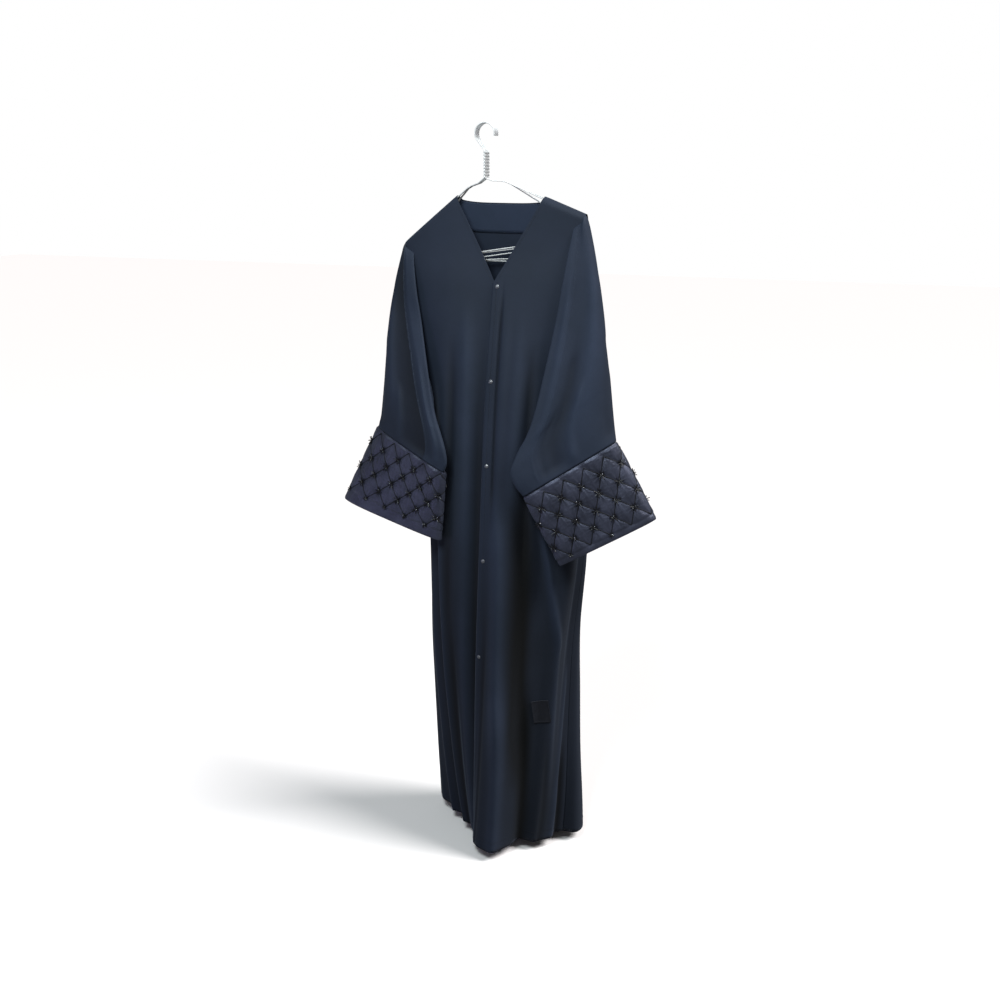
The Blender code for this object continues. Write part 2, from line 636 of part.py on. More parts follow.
# --- trims ---------------------------------------------------------------------------------------
def snap(name, level, mat):
    """Domed snap cap sewn near the right front's free edge."""
    half = BODY_LEVELS[1][1]
    angle = edge_angle(RIGHT_EDGE + SNAP_INSET, half)
    first = edge_angle(RIGHT_EDGE, half)
    share = (angle - first) / (math.pi / 2 - first)
    here = body_point(angle, share, level, FRONT_RIGHT_FOLDS)
    side = body_point(angle + 0.03, share + 0.02, level, FRONT_RIGHT_FOLDS)
    below = body_point(angle, share, level - 0.01, FRONT_RIGHT_FOLDS)
    normal = np.cross(side - here, below - here)
    normal /= np.linalg.norm(normal)
    if normal[1] > 0:
        normal = -normal
    bm = bmesh.new()
    bmesh.ops.create_cone(bm, cap_ends=True, segments=12, radius1=SNAP_DIAMETER / 2,
                          radius2=SNAP_DIAMETER * 0.3, depth=SNAP_HEIGHT)
    bmesh.ops.translate(bm, vec=(0, 0, SNAP_HEIGHT / 2), verts=bm.verts)
    bmesh.ops.recalc_face_normals(bm, faces=bm.faces)
    mesh = bpy.data.meshes.new(name)
    bm.to_mesh(mesh)
    bm.free()
    mesh.shade_smooth()
    mesh.set_sharp_from_angle(angle=math.radians(50))
    mesh.materials.append(mat)
    cap = bpy.data.objects.new(name, mesh)
    cap.rotation_euler = (math.atan2(math.hypot(normal[0], normal[1]), normal[2]), 0,
                          math.atan2(normal[0], -normal[1]))
    cap.location = here + normal * (WALL / 2 + SEAM_GAP + 0.0001)
    bpy.context.scene.collection.objects.link(cap)


def label(name, panel, mat):
    """Bare woven patch on the right front, made from the front's own points, moved out."""
    surface = BVHTree.FromObject(panel, bpy.context.evaluated_depsgraph_get())
    into_panel = Vector((-math.sin(LABEL_FACING), math.cos(LABEL_FACING), 0.0))
    across_panel = Vector((math.cos(LABEL_FACING), math.sin(LABEL_FACING), 0.0))
    grid = []
    for down in np.linspace(0.5, -0.5, 5):
        row = []
        for across in np.linspace(-0.5, 0.5, 4):
            u, v = across * LABEL_SIZE[0], down * LABEL_SIZE[1]
            reach = LABEL_CENTRE[0] + u * math.cos(LABEL_TURN) - v * math.sin(LABEL_TURN)
            z = LABEL_CENTRE[1] + u * math.sin(LABEL_TURN) + v * math.cos(LABEL_TURN)
            start = Vector((CENTRE_X, 0.0, z)) + across_panel * reach - into_panel
            hit = surface.ray_cast(start, into_panel)
            row.append(np.array(hit[0]) + np.array(hit[1]) * LABEL_LIFT)
        grid.append(row)
    sheet(name, np.array(grid), LABEL_WALL, mat)


def hanger(name, depth_place, slope, half_span, bar_drop, bar_lean, mat):
    """One wire bent into a hanger: hook, twisted neck, two arms and a lower bar."""
    y_neck = depth_place * HANGER_PITCH
    y_arm = depth_place * (WIRE + WIRE_GAP)
    strand = WIRE / 2 + STRAND_GAP
    path = []
    centre_z = -HOOK_RADIUS
    ring = HOOK_RADIUS + WIRE / 2
    for turn in np.linspace(HOOK_TIP, math.pi, 13):
        path.append((ring * math.cos(turn), y_neck, centre_z + ring * math.sin(turn)))
    path.append((-ring * HOOK_RETURN[0], y_neck, centre_z - ring * HOOK_RETURN[1]))
    turns = np.linspace(0.0, 1.0, 13)
    twist = NECK_TWISTS * 2 * math.pi

    def strand_point(share, phase):
        angle = twist * share + phase
        return (strand * math.cos(angle), y_neck + strand * math.sin(angle),
                NECK_TOP + (NECK_FOOT + 0.004 - NECK_TOP) * share)

    path += [strand_point(share, math.pi) for share in turns]

    def own(x, z, y):
        world = tilted(x, z)
        return (world[0], y, world[1])

    def arm(side, outwards):
        run = []
        for x in (*ARM_REACHES, half_span - ARM_CORNER_RUN):
            y = y_neck + (y_arm - y_neck) * min(x / ARM_SHOULDER, 1.0)
            run.append(own(side * x, arm_drop(x, slope) - WIRE / 2, y))
        return run if outwards else run[::-1]

    def corner(side, outwards):
        top = math.radians(90) - slope
        reach = side * (half_span - CORNER_RADIUS)
        middle_z = CORNER_RADIUS - bar_drop - reach * math.tan(bar_lean)
        arc = []
        for turn in np.linspace(top, math.radians(-90), 6):
            arc.append(own(reach + side * CORNER_RADIUS * math.cos(turn),
                           middle_z + CORNER_RADIUS * math.sin(turn), y_arm))
        return arc if outwards else arc[::-1]

    path += arm(1, True) + corner(1, True)
    path += [own(x, -bar_drop - x * math.tan(bar_lean), y_arm) for x in BAR_REACHES]
    path += corner(-1, False) + arm(-1, False)
    path += [strand_point(share, 0.0) for share in turns[:1:-1]]
    curve = bpy.data.curves.new(name, "CURVE")
    curve.dimensions = "3D"
    curve.bevel_depth = WIRE / 2
    curve.bevel_resolution = 1
    curve.use_fill_caps = True
    curve.resolution_u = 1
    curve.render_resolution_u = 0
    run = curve.splines.new("POLY")
    run.points.add(len(path) - 1)
    for point, place in zip(run.points, path):
        point.co = (*place, 1.0)
    curve.materials.append(mat)
    piece = bpy.data.objects.new(name, curve)
    bpy.context.scene.collection.objects.link(piece)


HANGERS = [
    # name, place in the bunch, arm slope, half span, bar drop, bar lean
    ("hanger_1", -2, 31.2, 0.1930, 0.1420, 0.0),
    ("hanger_2", -1, 31.6, 0.1925, 0.1450, 1.0),
    ("hanger_3", 0, 30.0, 0.1950, 0.1530, 0.0),
    ("hanger_4", 1, 37.0, 0.1800, 0.1620, 5.5),
    ("hanger_5", 2, 38.5, 0.1720, 0.1660, 9.0),
]


def build():
    """Make every piece of the cloak and its hangers."""
    clear_scene()
    crepe = material("black_crepe", (0.012, 0.014, 0.020), 0.75)
    taffeta = material("cuff_taffeta", (0.020, 0.021, 0.028), 0.5)
    cap = material("snap_cap", (0.45, 0.46, 0.48), 0.3, 0.6)
    patch = material("label_cloth", (0.010, 0.010, 0.014), 0.6)
    wire = material("white_wire", (0.80, 0.80, 0.78), 0.35)
    front_right = sheet("front_right", front_grid("right"), WALL, crepe, ("last side",))
    label("label", front_right, patch)
    sheet("front_left", front_grid("left"), WALL, crepe, ("last side",))
    back = back_grid()
    sheet("back", back, WALL, crepe, ("first side", "last side"))
    sheet("back_neck_facing", neck_facing_grid(back), FACING_WALL, crepe)
    for side in ("right", "left"):
        sheet(f"sleeve_{side}", sleeve_grid(side), WALL, crepe)
        inner, outer = cuff_grids(side)
        cloth_wall(f"cuff_{side}", outer, inner, taffeta, wrap=True)
    for index, level in enumerate(SNAP_LEVELS, start=1):
        snap(f"snap_{index}", level, cap)
    for name, place, slope, half_span, bar_drop, lean in HANGERS:
        hanger(name, place, math.radians(slope), half_span, bar_drop, math.radians(lean), wire)


build()
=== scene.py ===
import math

import bmesh
import bpy
import numpy as np
from mathutils import Matrix, Vector
from mathutils.bvhtree import BVHTree


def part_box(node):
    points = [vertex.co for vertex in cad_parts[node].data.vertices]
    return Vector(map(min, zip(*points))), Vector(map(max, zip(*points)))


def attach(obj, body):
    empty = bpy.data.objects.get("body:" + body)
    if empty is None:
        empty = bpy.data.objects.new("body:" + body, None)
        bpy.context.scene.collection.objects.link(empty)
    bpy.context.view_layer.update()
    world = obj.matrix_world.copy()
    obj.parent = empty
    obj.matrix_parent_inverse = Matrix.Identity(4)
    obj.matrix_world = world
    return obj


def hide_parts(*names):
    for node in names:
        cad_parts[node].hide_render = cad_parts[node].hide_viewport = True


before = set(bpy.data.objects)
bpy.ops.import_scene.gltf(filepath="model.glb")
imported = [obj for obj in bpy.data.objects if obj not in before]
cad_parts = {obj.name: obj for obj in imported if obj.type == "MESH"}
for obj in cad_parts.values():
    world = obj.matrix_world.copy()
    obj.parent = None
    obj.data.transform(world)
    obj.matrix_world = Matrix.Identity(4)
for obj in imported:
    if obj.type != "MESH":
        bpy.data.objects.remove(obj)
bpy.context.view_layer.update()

# --- Floor, light and camera -------------------------------------------------------------------
# A plain pale floor a few centimetres under the hem.  A broad softbox high in front, a faint cool
# one low on the left, high daylight from behind on the right, and an even white surround.
FLOOR_Z = -1.585
FLOOR_HALF = 14.0
FLOOR_SEEN = (0.604, 0.583, 0.578, 1)
FLOOR_THROWN = (0.15, 0.15, 0.15, 1)  # its colour in the light that it throws onto the cloak
SURROUND_LIGHT = 0.21  # share of its white that the surround throws onto the cloak
CAMERA_PLACE = (0.97772321, -2.41994986, -0.072)
CAMERA_PITCH = math.radians(15.5)
CAMERA_HEADING = math.radians(21.3904)
CAMERA_LENS = 44.172
SENSOR_WIDTH = 36.0
SOFTBOXES = [
    # name, place, what it points at, size, watts, colour
    ("key", (0.00, -1.80, 1.20), (0.05, 0.0, -0.22), 1.0, 90, (0.88, 0.98, 1.0)),
    ("low", (-2.10, -1.70, -1.10), (0.0, 0.0, -1.30), 0.8, 12, (0.62, 0.56, 1.0)),
]
DAYLIGHT_STRENGTH = 6.0
DAYLIGHT_SPREAD = math.radians(26)
DAYLIGHT_WAY = (-0.62, -0.04, -0.78)


def new_node(tree, kind, **settings):
    """Node with its settings; a setting that names an input sets that input's value."""
    made = tree.nodes.new(kind)
    for key, value in settings.items():
        if key in made.inputs:
            made.inputs[key].default_value = value
        else:
            setattr(made, key, value)
    return made


def join(tree, *links):
    """Link nodes: each link is a node, its output, the next node and its input."""
    for source, output, target, socket in links:
        tree.links.new(source.outputs[output], target.inputs[socket])


def new_material(name, sockets):
    """Material, its node tree and its shader with some of the shader's sockets set."""
    made = bpy.data.materials.new(name)
    made.use_nodes = True
    shader = made.node_tree.nodes["Principled BSDF"]
    for socket, value in sockets.items():
        shader.inputs[socket].default_value = value
    return made, made.node_tree, shader


def link_object(name, data):
    """Object for some data, linked to the scene."""
    made = bpy.data.objects.new(name, data)
    bpy.context.scene.collection.objects.link(made)
    return made


def mesh_piece(name, bm, finish, sharp_from=None):
    """Finish a mesh as a piece, smooth but for edges that turn more than `sharp_from` degrees."""
    mesh = bpy.data.meshes.new(name)
    bm.to_mesh(mesh)
    bm.free()
    mesh.shade_smooth()
    if sharp_from:
        mesh.set_sharp_from_angle(angle=math.radians(sharp_from))
    mesh.materials.append(finish)
    return link_object(name, mesh)


floor_paint, tree, shader = new_material("floor_paint", {"Roughness": 0.9})
seen = new_node(tree, "ShaderNodeLightPath")
tone = new_node(tree, "ShaderNodeMix", data_type="RGBA", A=FLOOR_THROWN, B=FLOOR_SEEN)
join(tree, (seen, "Is Camera Ray", tone, "Factor"), (tone, "Result", shader, "Base Color"))
bm = bmesh.new()
bmesh.ops.create_grid(bm, x_segments=2, y_segments=2, size=FLOOR_HALF)
bmesh.ops.translate(bm, vec=(0, 0, FLOOR_Z), verts=bm.verts)
mesh_piece("floor", bm, floor_paint)

camera_data = bpy.data.cameras.new("camera")
camera_data.lens = CAMERA_LENS
camera_data.sensor_width = SENSOR_WIDTH
camera = link_object("camera", camera_data)
camera.location = CAMERA_PLACE
camera.rotation_euler = (math.pi / 2 - CAMERA_PITCH, 0, CAMERA_HEADING)
bpy.context.scene.camera = camera

for name, place, target, size, watts, colour in SOFTBOXES:
    lamp_data = bpy.data.lights.new(name, "AREA")
    lamp_data.size = size
    lamp_data.energy = watts
    lamp_data.color = colour
    lamp = link_object(name, lamp_data)
    lamp.location = place
    lamp.rotation_euler = (Vector(target) - Vector(place)).to_track_quat("-Z", "Y").to_euler()
sun_data = bpy.data.lights.new("daylight", "SUN")
sun_data.energy = DAYLIGHT_STRENGTH
sun_data.angle = DAYLIGHT_SPREAD
sun = link_object("daylight", sun_data)
sun.rotation_euler = Vector(DAYLIGHT_WAY).to_track_quat("-Z", "Y").to_euler()

surround = bpy.data.worlds.new("surround")
surround.use_nodes = True
tree = surround.node_tree
background = tree.nodes["Background"]
background.inputs["Color"].default_value = (1.0, 1.0, 1.0, 1)
seen = new_node(tree, "ShaderNodeLightPath")
amount = new_node(tree, "ShaderNodeMapRange", **{"To Min": SURROUND_LIGHT, "To Max": 1.0})
join(tree, (seen, "Is Camera Ray", amount, "Value"), (amount, "Result", background, "Strength"))
bpy.context.scene.world = surround
bpy.context.scene.view_settings.view_transform = "Standard"

# --- Back --------------------------------------------------------------------------------------
# One length of matt black crepe from shoulders to hem.  It hangs from the hangers' arms in soft
# upright folds that grow towards the hem, and its sides are sewn to the fronts.
CLOTH = 0.0011
BACK_GRID = (150, 150)  # columns and rows
RIDGE_LIFT = 0.0024
RIDGE_HALF_DEPTH = 0.014
RIDGE_ROUND = 2.4
RIDGE_SHARES = [0, 0.012, 0.024, 0.036, 0.048, 0.060]  # shares of the fall on the ridge,
RIDGE_DROPS = [0, 0.0012, 0.0032, 0.0065, 0.0110, 0.0170]  # and how far down they are
NECK_FOOT = -0.112
HANGER_TILT = math.radians(9.0)
ARM_REACH = 0.26
ARM_SHOULDER = 0.040
ARM_FIRST_DROP = 0.007
ARM_SLOPE = math.radians(30.0)
CENTRE_X = 0.033
NECK_HALF = 0.097
NECK_TURN = 0.0015
NECK_READ_Z = -0.200  # level at which the panels' width at the neck is read
BACK_NECK_STEP = 0.0080
BACK_NECK_DIP = 0.006
HEM_Z = -1.560
UNDERARM_Z = -0.500
OVAL_POWER = 0.88
DEPTH_POWER = 1.05
SIDE_FORWARD = 0.020
SIDE_SWING_Z = -0.860
SIDE_SWING_FALL = 0.3
FOLD_START_Z = -0.330
FOLD_HIP_Z = -0.850
HEM_START_Z = -0.800  # below this the folds move to their places at the hem
HEM_POWER = 1.7
SHOULDER_SEAM_HALF = 0.0002
SIDE_SEAM_LAP = 0.0005
SEAM_STILL = 0.05  # share beside a side seam over which creases die out
CREASE_TAPER = (0.0, 0.25, 1.15, 0.3)  # where a crease starts, its rise, its end and its fall
OVAL_STEP = 0.02
PAINTED_SHADE_FOLD = 0.0075  # fold height at which the painted light or shade of a fold is full
# how strongly the painted light and shade scale the crepe's colour
PAINTED_SHADE_STRENGTH = 0.70
PAINTED_SKIRT_SHADE = 0.60  # painted shade: the crepe is painted darker and darker down the skirt
PAINTED_SKIRT_FADE = 0.65

BODY_LEVELS = [
    # level z, right half, left half, front depth, back depth, armhole half depth
    (-0.150, 0.183, 0.214, 0.0145, 0.0145, 0.0120),
    (-0.250, 0.183, 0.214, 0.0290, 0.0200, 0.0140),
    (-0.315, 0.183, 0.207, 0.0440, 0.0260, 0.0150),
    (-0.515, 0.184, 0.178, 0.0840, 0.0420, 0.0000),
    (-0.690, 0.188, 0.165, 0.1080, 0.0560, 0.0000),
    (-0.890, 0.192, 0.160, 0.1280, 0.0700, 0.0000),
    (-1.110, 0.179, 0.159, 0.1430, 0.0860, 0.0000),
    (-1.330, 0.178, 0.160, 0.1500, 0.1020, 0.0000),
    (-1.560, 0.196, 0.170, 0.1560, 0.1180, 0.0000),
]
BACK_FOLDS = [
    # share of the width, push at the hip, hem x, hem y
    (0.00, 0.000, 0.160, -0.022),
    (0.06, 0.006, 0.190, -0.018),
    (0.14, 0.000, 0.196, 0.018),
    (0.23, -0.010, 0.168, 0.052),
    (0.32, 0.010, 0.142, 0.100),
    (0.42, -0.010, 0.092, 0.094),
    (0.51, 0.012, 0.050, 0.126),
    (0.60, -0.010, 0.004, 0.104),
    (0.69, 0.012, -0.040, 0.124),
    (0.78, -0.008, -0.084, 0.090),
    (0.87, 0.008, -0.128, 0.092),
    (0.94, -0.002, -0.154, 0.066),
    (1.00, 0.000, -0.170, 0.036),
]
BACK_CREASES = [
    # share and z where it starts, share and z where it ends, half width, height
    (0.30, -0.20, 0.37, -1.00, 0.042, 0.0062),
    (0.47, -0.24, 0.44, -0.92, 0.034, -0.0052),
    (0.57, -0.19, 0.64, -1.20, 0.046, 0.0070),
    (0.73, -0.30, 0.70, -0.95, 0.030, -0.0050),
    (0.17, -0.45, 0.12, -1.30, 0.036, 0.0056),
    (0.84, -0.40, 0.87, -1.45, 0.034, 0.0056),
    (0.50, -0.85, 0.54, -1.80, 0.024, -0.0062),
    (0.26, -0.95, 0.24, -1.80, 0.024, 0.0052),
    (0.76, -1.00, 0.80, -1.75, 0.022, 0.0056),
    (0.36, -0.28, 0.40, -0.62, 0.020, -0.0030),
]


def ease(value):
    """Smooth step from 0 to 1."""
    value = np.clip(value, 0.0, 1.0)
    return value * value * (3.0 - 2.0 * value)


def window(value, start, rise, end, fall):
    """1 inside `start` and `end`, easing up from 0 over `rise` and back down over `fall`."""
    return ease((value - start) / rise) * ease((end - value) / fall)


def curve_through(stations, values, at):
    """Smooth curve through the rows of `values` at their stations, read at each place in `at`."""
    stations = np.asarray(stations, float)
    values = np.asarray(values, float).reshape(len(stations), -1)
    if stations[0] > stations[-1]:
        stations, values = stations[::-1], values[::-1]
    at = np.clip(np.atleast_1d(np.asarray(at, float)), stations[0], stations[-1])
    i = np.clip(np.searchsorted(stations, at) - 1, 0, len(stations) - 2)
    slopes = np.diff(values, axis=0) / np.diff(stations)[:, None]
    lean = np.concatenate([slopes[:1], (slopes[:-1] + slopes[1:]) / 2, slopes[-1:]])
    step = (stations[i + 1] - stations[i])[:, None]
    u = (at - stations[i])[:, None] / step
    return ((2 * u**3 - 3 * u**2 + 1) * values[i] + (u**3 - 2 * u**2 + u) * step * lean[i]
            + (3 * u**2 - 2 * u**3) * values[i + 1] + (u**3 - u**2) * step * lean[i + 1])


def shoulder_line(x):
    """Height of the cloth over the hangers' arms at each x."""
    reach = np.array([-ARM_REACH, -ARM_SHOULDER, 0.0, ARM_SHOULDER, ARM_REACH])
    drop = -ARM_FIRST_DROP * np.minimum(np.abs(reach) / ARM_SHOULDER, 1.0)
    drop -= np.maximum(np.abs(reach) - ARM_SHOULDER, 0.0) * math.tan(ARM_SLOPE)
    along = reach * math.cos(HANGER_TILT) - drop * math.sin(HANGER_TILT)
    height = NECK_FOOT + reach * math.sin(HANGER_TILT) + drop * math.cos(HANGER_TILT)
    return np.interp(x, along, height) + RIDGE_LIFT


def body_oval(angle, z, back):
    """Plain oval of the cloak at each level; angle 0 is the centre, positive ones are the right."""
    levels = np.array(BODY_LEVELS)
    right, left, front_depth, back_depth, armhole = curve_through(levels[:, 0], levels[:, 1:], z).T
    half = np.where(angle > 0, right, left)
    x = half * np.sign(angle) * np.abs(np.sin(angle)) ** OVAL_POWER
    bulge = np.maximum(np.cos(angle), 0.0) ** DEPTH_POWER
    armhole = np.maximum(armhole, 0.0)
    y = armhole + ((back_depth if back else front_depth) - armhole) * bulge
    sunk = np.clip((shoulder_line(CENTRE_X + x) - z) / RIDGE_HALF_DEPTH, 0.0, 1.0)
    y = y * (1.0 - (1.0 - sunk) ** RIDGE_ROUND) ** (1 / RIDGE_ROUND)
    swing = -SIDE_FORWARD * ease((SIDE_SWING_Z - z) / SIDE_SWING_FALL) * (1.0 - bulge)
    return np.stack([CENTRE_X + x, (y if back else -y) + swing, z], axis=-1)


def hanging_panel(angle, share, z, folds, back):
    """Points of a panel: the oval, then folds that grow from the chest down to the hem."""
    angle, share, z = np.broadcast_arrays(*map(np.atleast_1d, (angle, share, z)))
    z = z.astype(float)
    point = body_oval(angle, z, back)
    along = body_oval(angle + OVAL_STEP, z, back) - body_oval(angle - OVAL_STEP, z, back)
    outward = np.stack([along[:, 1], -along[:, 0], np.zeros(len(along))], axis=-1)
    outward *= (-1 if back else 1) / np.maximum(np.linalg.norm(outward, axis=1, keepdims=True), 1e-9)
    folds = np.array(folds)
    push, hem_x, hem_y = curve_through(folds[:, 0], folds[:, 1:], share).T
    grown = ease((FOLD_START_Z - z) / (FOLD_START_Z - FOLD_HIP_Z))
    settled = np.clip((HEM_START_Z - z) / (HEM_START_Z - HEM_Z), 0.0, 1.0) ** HEM_POWER
    folded = point + outward * (push * grown)[:, None]
    hem = np.stack([CENTRE_X + hem_x, hem_y, z], axis=-1)
    return folded * (1.0 - settled)[:, None] + hem * settled[:, None], outward


def crease_heights(creases, share, z):
    """Height of the listed creases and ridges at each place of a panel."""
    height = np.zeros(len(share))
    for share_a, z_a, share_b, z_b, half_width, rise in creases:
        inside = (z - z_a) / (z_b - z_a)
        middle = share_a + (share_b - share_a) * np.clip(inside, 0.0, 1.0)
        height += rise * window(inside, *CREASE_TAPER) * np.exp(-(((share - middle) / half_width) ** 2))
    return height


def painted_panel_shade(height, z):
    """Painted light and shade on the crepe: paler on folds that stand out, darker in creases, and
    darker and darker down the skirt.
    """
    return np.tanh(height / PAINTED_SHADE_FOLD) - PAINTED_SKIRT_SHADE * ease((UNDERARM_Z - z) / PAINTED_SKIRT_FADE)


def edge_angle(offset, half):
    """Angle at which the oval stands `offset` from the centre line."""
    reach = np.minimum(np.abs(offset / half), 1.0) ** (1 / OVAL_POWER)
    return np.sign(offset) * np.arcsin(reach)


def fall_levels(top, share):
    """Level at each share of the way down from the shoulder, close together over the ridge."""
    below = ((share - RIDGE_SHARES[-1]) / (1 - RIDGE_SHARES[-1])).clip(0, 1)
    over_ridge = np.interp(share, RIDGE_SHARES, RIDGE_DROPS)
    return top - over_ridge + (HEM_Z - (top - RIDGE_DROPS[-1])) * below


def cloth_grid(columns, rows):
    """Flat grid with a weave map, and each corner's shares across and up it."""
    bm = bmesh.new()
    bm.loops.layers.uv.new("weave")
    bmesh.ops.create_grid(bm, x_segments=columns, y_segments=rows, size=0.5, calc_uvs=True)
    bm.verts.ensure_lookup_table()
    return bm, np.array([vert.co[:2] for vert in bm.verts]) + 0.5


def lay_cloth(name, grid, place, thickness, finish):
    """Piece of cloth: a grid that `place` puts in space and gives its painted light and shade, with a
    wall.
    """
    bm, shares = cloth_grid(*grid)
    painted_shade = bm.verts.layers.float.new("painted_shade")
    # each point keeps its painted light and shade as an attribute of the mesh
    for vert, point, shade in zip(bm.verts, *place(shares[:, 0], 1.0 - shares[:, 1])):
        vert.co = point
        vert[painted_shade] = shade
    bmesh.ops.recalc_face_normals(bm, faces=bm.faces)
    piece = mesh_piece(name, bm, finish)
    wall = piece.modifiers.new("wall", "SOLIDIFY")
    wall.thickness = thickness
    wall.offset = 0.0
    wall.use_quality_normals = True
    return piece


# Grain that every woven cloth of the cloak shares: pebbled threads, a fainter crossed weave, and
# slow changes of shade where the cloth has been handled and folded.
woven_grain = bpy.data.node_groups.new("woven_grain", "ShaderNodeTree")
for way, name, kind in (
    ("INPUT", "Colour", "Color"), ("INPUT", "Light", "Color"), ("INPUT", "Thread", "Float"),
    ("INPUT", "Cloud", "Float"), ("INPUT", "Pebble", "Float"), ("INPUT", "Roughness", "Float"),
    ("OUTPUT", "Colour", "Color"), ("OUTPUT", "Roughness", "Float"), ("OUTPUT", "Height", "Float"),
):
    woven_grain.interface.new_socket(name, in_out=way, socket_type=f"NodeSocket{kind}")
enter = new_node(woven_grain, "NodeGroupInput")
leave = new_node(woven_grain, "NodeGroupOutput")
where = new_node(woven_grain, "ShaderNodeTexCoord")
cloud = new_node(woven_grain, "ShaderNodeTexNoise", Detail=4.0, Roughness=0.6)
pebble = new_node(woven_grain, "ShaderNodeTexNoise", Detail=2.0, Roughness=0.7)
weft = new_node(woven_grain, "ShaderNodeTexWave", bands_direction="Z", Distortion=1.2, Detail=1.0)
warp = new_node(woven_grain, "ShaderNodeTexWave", bands_direction="X", Distortion=1.2, Detail=1.0)
for texture, scale in ((cloud, "Cloud"), (pebble, "Thread"), (weft, "Thread"), (warp, "Thread")):
    join(woven_grain, (where, "Object", texture, "Vector"), (enter, scale, texture, "Scale"))
shade = new_node(woven_grain, "ShaderNodeMapRange", **{"From Min": 0.35, "From Max": 0.70})
speck = new_node(woven_grain, "ShaderNodeMapRange",
                 **{"From Min": 0.3, "From Max": 0.7, "To Min": 0.82, "To Max": 1.16})
worn = new_node(woven_grain, "ShaderNodeMapRange", **{"To Min": -0.06, "To Max": 0.06})
tint = new_node(woven_grain, "ShaderNodeMix", data_type="RGBA")
relief = new_node(woven_grain, "ShaderNodeMix")
speckled = new_node(woven_grain, "ShaderNodeVectorMath", operation="SCALE")
threads = new_node(woven_grain, "ShaderNodeMath", operation="MAXIMUM")
rough = new_node(woven_grain, "ShaderNodeMath", operation="ADD")
join(
    woven_grain,
    (cloud, "Fac", shade, "Value"), (shade, "Result", tint, "Factor"), (enter, "Colour", tint, "A"),
    (enter, "Light", tint, "B"), (pebble, "Fac", speck, "Value"), (tint, "Result", speckled, 0),
    (speck, "Result", speckled, "Scale"), (speckled, "Vector", leave, "Colour"),
    (weft, "Fac", threads, 0), (warp, "Fac", threads, 1), (enter, "Pebble", relief, "Factor"),
    (threads, 0, relief, "A"), (pebble, "Fac", relief, "B"), (relief, "Result", leave, "Height"),
    (cloud, "Fac", worn, "Value"), (enter, "Roughness", rough, 0), (worn, "Result", rough, 1),
    (rough, 0, leave, "Roughness"),
)


def woven_cloth(name, colour, light, thread, pebble, roughness, bump, sheen, cloud=7.0, **sockets):
    """Material of a woven cloth: its grain, painted light on folds and painted shade in creases and
    down the skirt, with bump and sheen.
    """
    finish, tree, shader = new_material(name, {
        "Sheen Weight": sheen, "Sheen Roughness": 0.45, "Sheen Tint": (0.55, 0.66, 0.90, 1),
        "Specular IOR Level": 0.15, **sockets})
    grain = new_node(tree, "ShaderNodeGroup", node_tree=woven_grain, Colour=(*colour, 1),
                     Light=(*light, 1), Thread=thread, Cloud=cloud, Pebble=pebble, Roughness=roughness)
    raised = new_node(tree, "ShaderNodeBump", Strength=bump, Distance=0.0004)
    # painted light and shade: the mesh's attribute makes the colour paler on folds, darker in creases
    # and down the skirt
    painted_shade = new_node(tree, "ShaderNodeAttribute", attribute_name="painted_shade")
    painted_light = new_node(tree, "ShaderNodeMath", operation="MULTIPLY_ADD")
    painted_light.inputs[1].default_value = PAINTED_SHADE_STRENGTH
    painted_light.inputs[2].default_value = 1.0
    painted_shade_colour = new_node(tree, "ShaderNodeVectorMath", operation="SCALE")
    join(tree, (grain, "Height", raised, "Height"), (raised, "Normal", shader, "Normal"),
         (painted_shade, "Fac", painted_light, 0), (painted_light, 0, painted_shade_colour, "Scale"), (grain, "Colour", painted_shade_colour, 0),
         (painted_shade_colour, "Vector", shader, "Base Color"), (grain, "Roughness", shader, "Roughness"))
    return finish


black_crepe = woven_cloth("black_crepe", (0.0064, 0.0099, 0.0182), (0.0090, 0.0129, 0.0236),
                          1500.0, 0.75, 0.72, 0.35, 0.05)


def place_back(across, down):
    """Points of the back, from the right side seam to the left one."""
    angle = math.pi / 2 - math.pi * across
    x = body_oval(angle, np.full(len(angle), NECK_READ_Z), True)[:, 0] - CENTRE_X
    left, right = shoulder_line(CENTRE_X - NECK_HALF), shoulder_line(CENTRE_X + NECK_HALF)
    level = left + (right - left) * (x + NECK_HALF) / (2 * NECK_HALF)
    neck = level - BACK_NECK_STEP - BACK_NECK_DIP * (1.0 - (x / NECK_HALF) ** 4)
    top = np.where(np.abs(x) > NECK_HALF - NECK_TURN / 2, shoulder_line(CENTRE_X + x), neck)
    z = fall_levels(top, down)
    point, outward = hanging_panel(angle, across, z, BACK_FOLDS, True)
    height = crease_heights(BACK_CREASES, across, z) * window(across, 0, SEAM_STILL, 1, SEAM_STILL)
    point += outward * height[:, None]
    shoulder = down < 1e-6
    point[shoulder, 1] = np.maximum(point[shoulder, 1], SHOULDER_SEAM_HALF)
    side = (across < 1e-6) | (across > 1 - 1e-6)
    point[side, 1] -= SIDE_SEAM_LAP
    # the back's painted light and shade, from its creases' heights and its level
    return point, painted_panel_shade(height, z)


back = lay_cloth("back_panel", BACK_GRID, place_back, CLOTH, black_crepe)
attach(back, "root")
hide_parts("back")

# --- Facing of the back neck -------------------------------------------------------------------
# A straight strip of the same crepe sewn inside the back neck, so the neckline keeps its shape.
FACING_TOP = 0.022  # its edges, as shares of the back's length
FACING_FOOT = 0.0900
FACING_HALF_ANGLE = float(edge_angle(np.array(NECK_HALF - NECK_TURN - 0.001), 0.2))
FACING_CLOTH = 0.0008
FACING_INSIDE = 0.0019
# painted light: the facing is painted paler all over
FACING_PAINTED_LIGHT = 0.9
FACING_GRID = (60, 14)


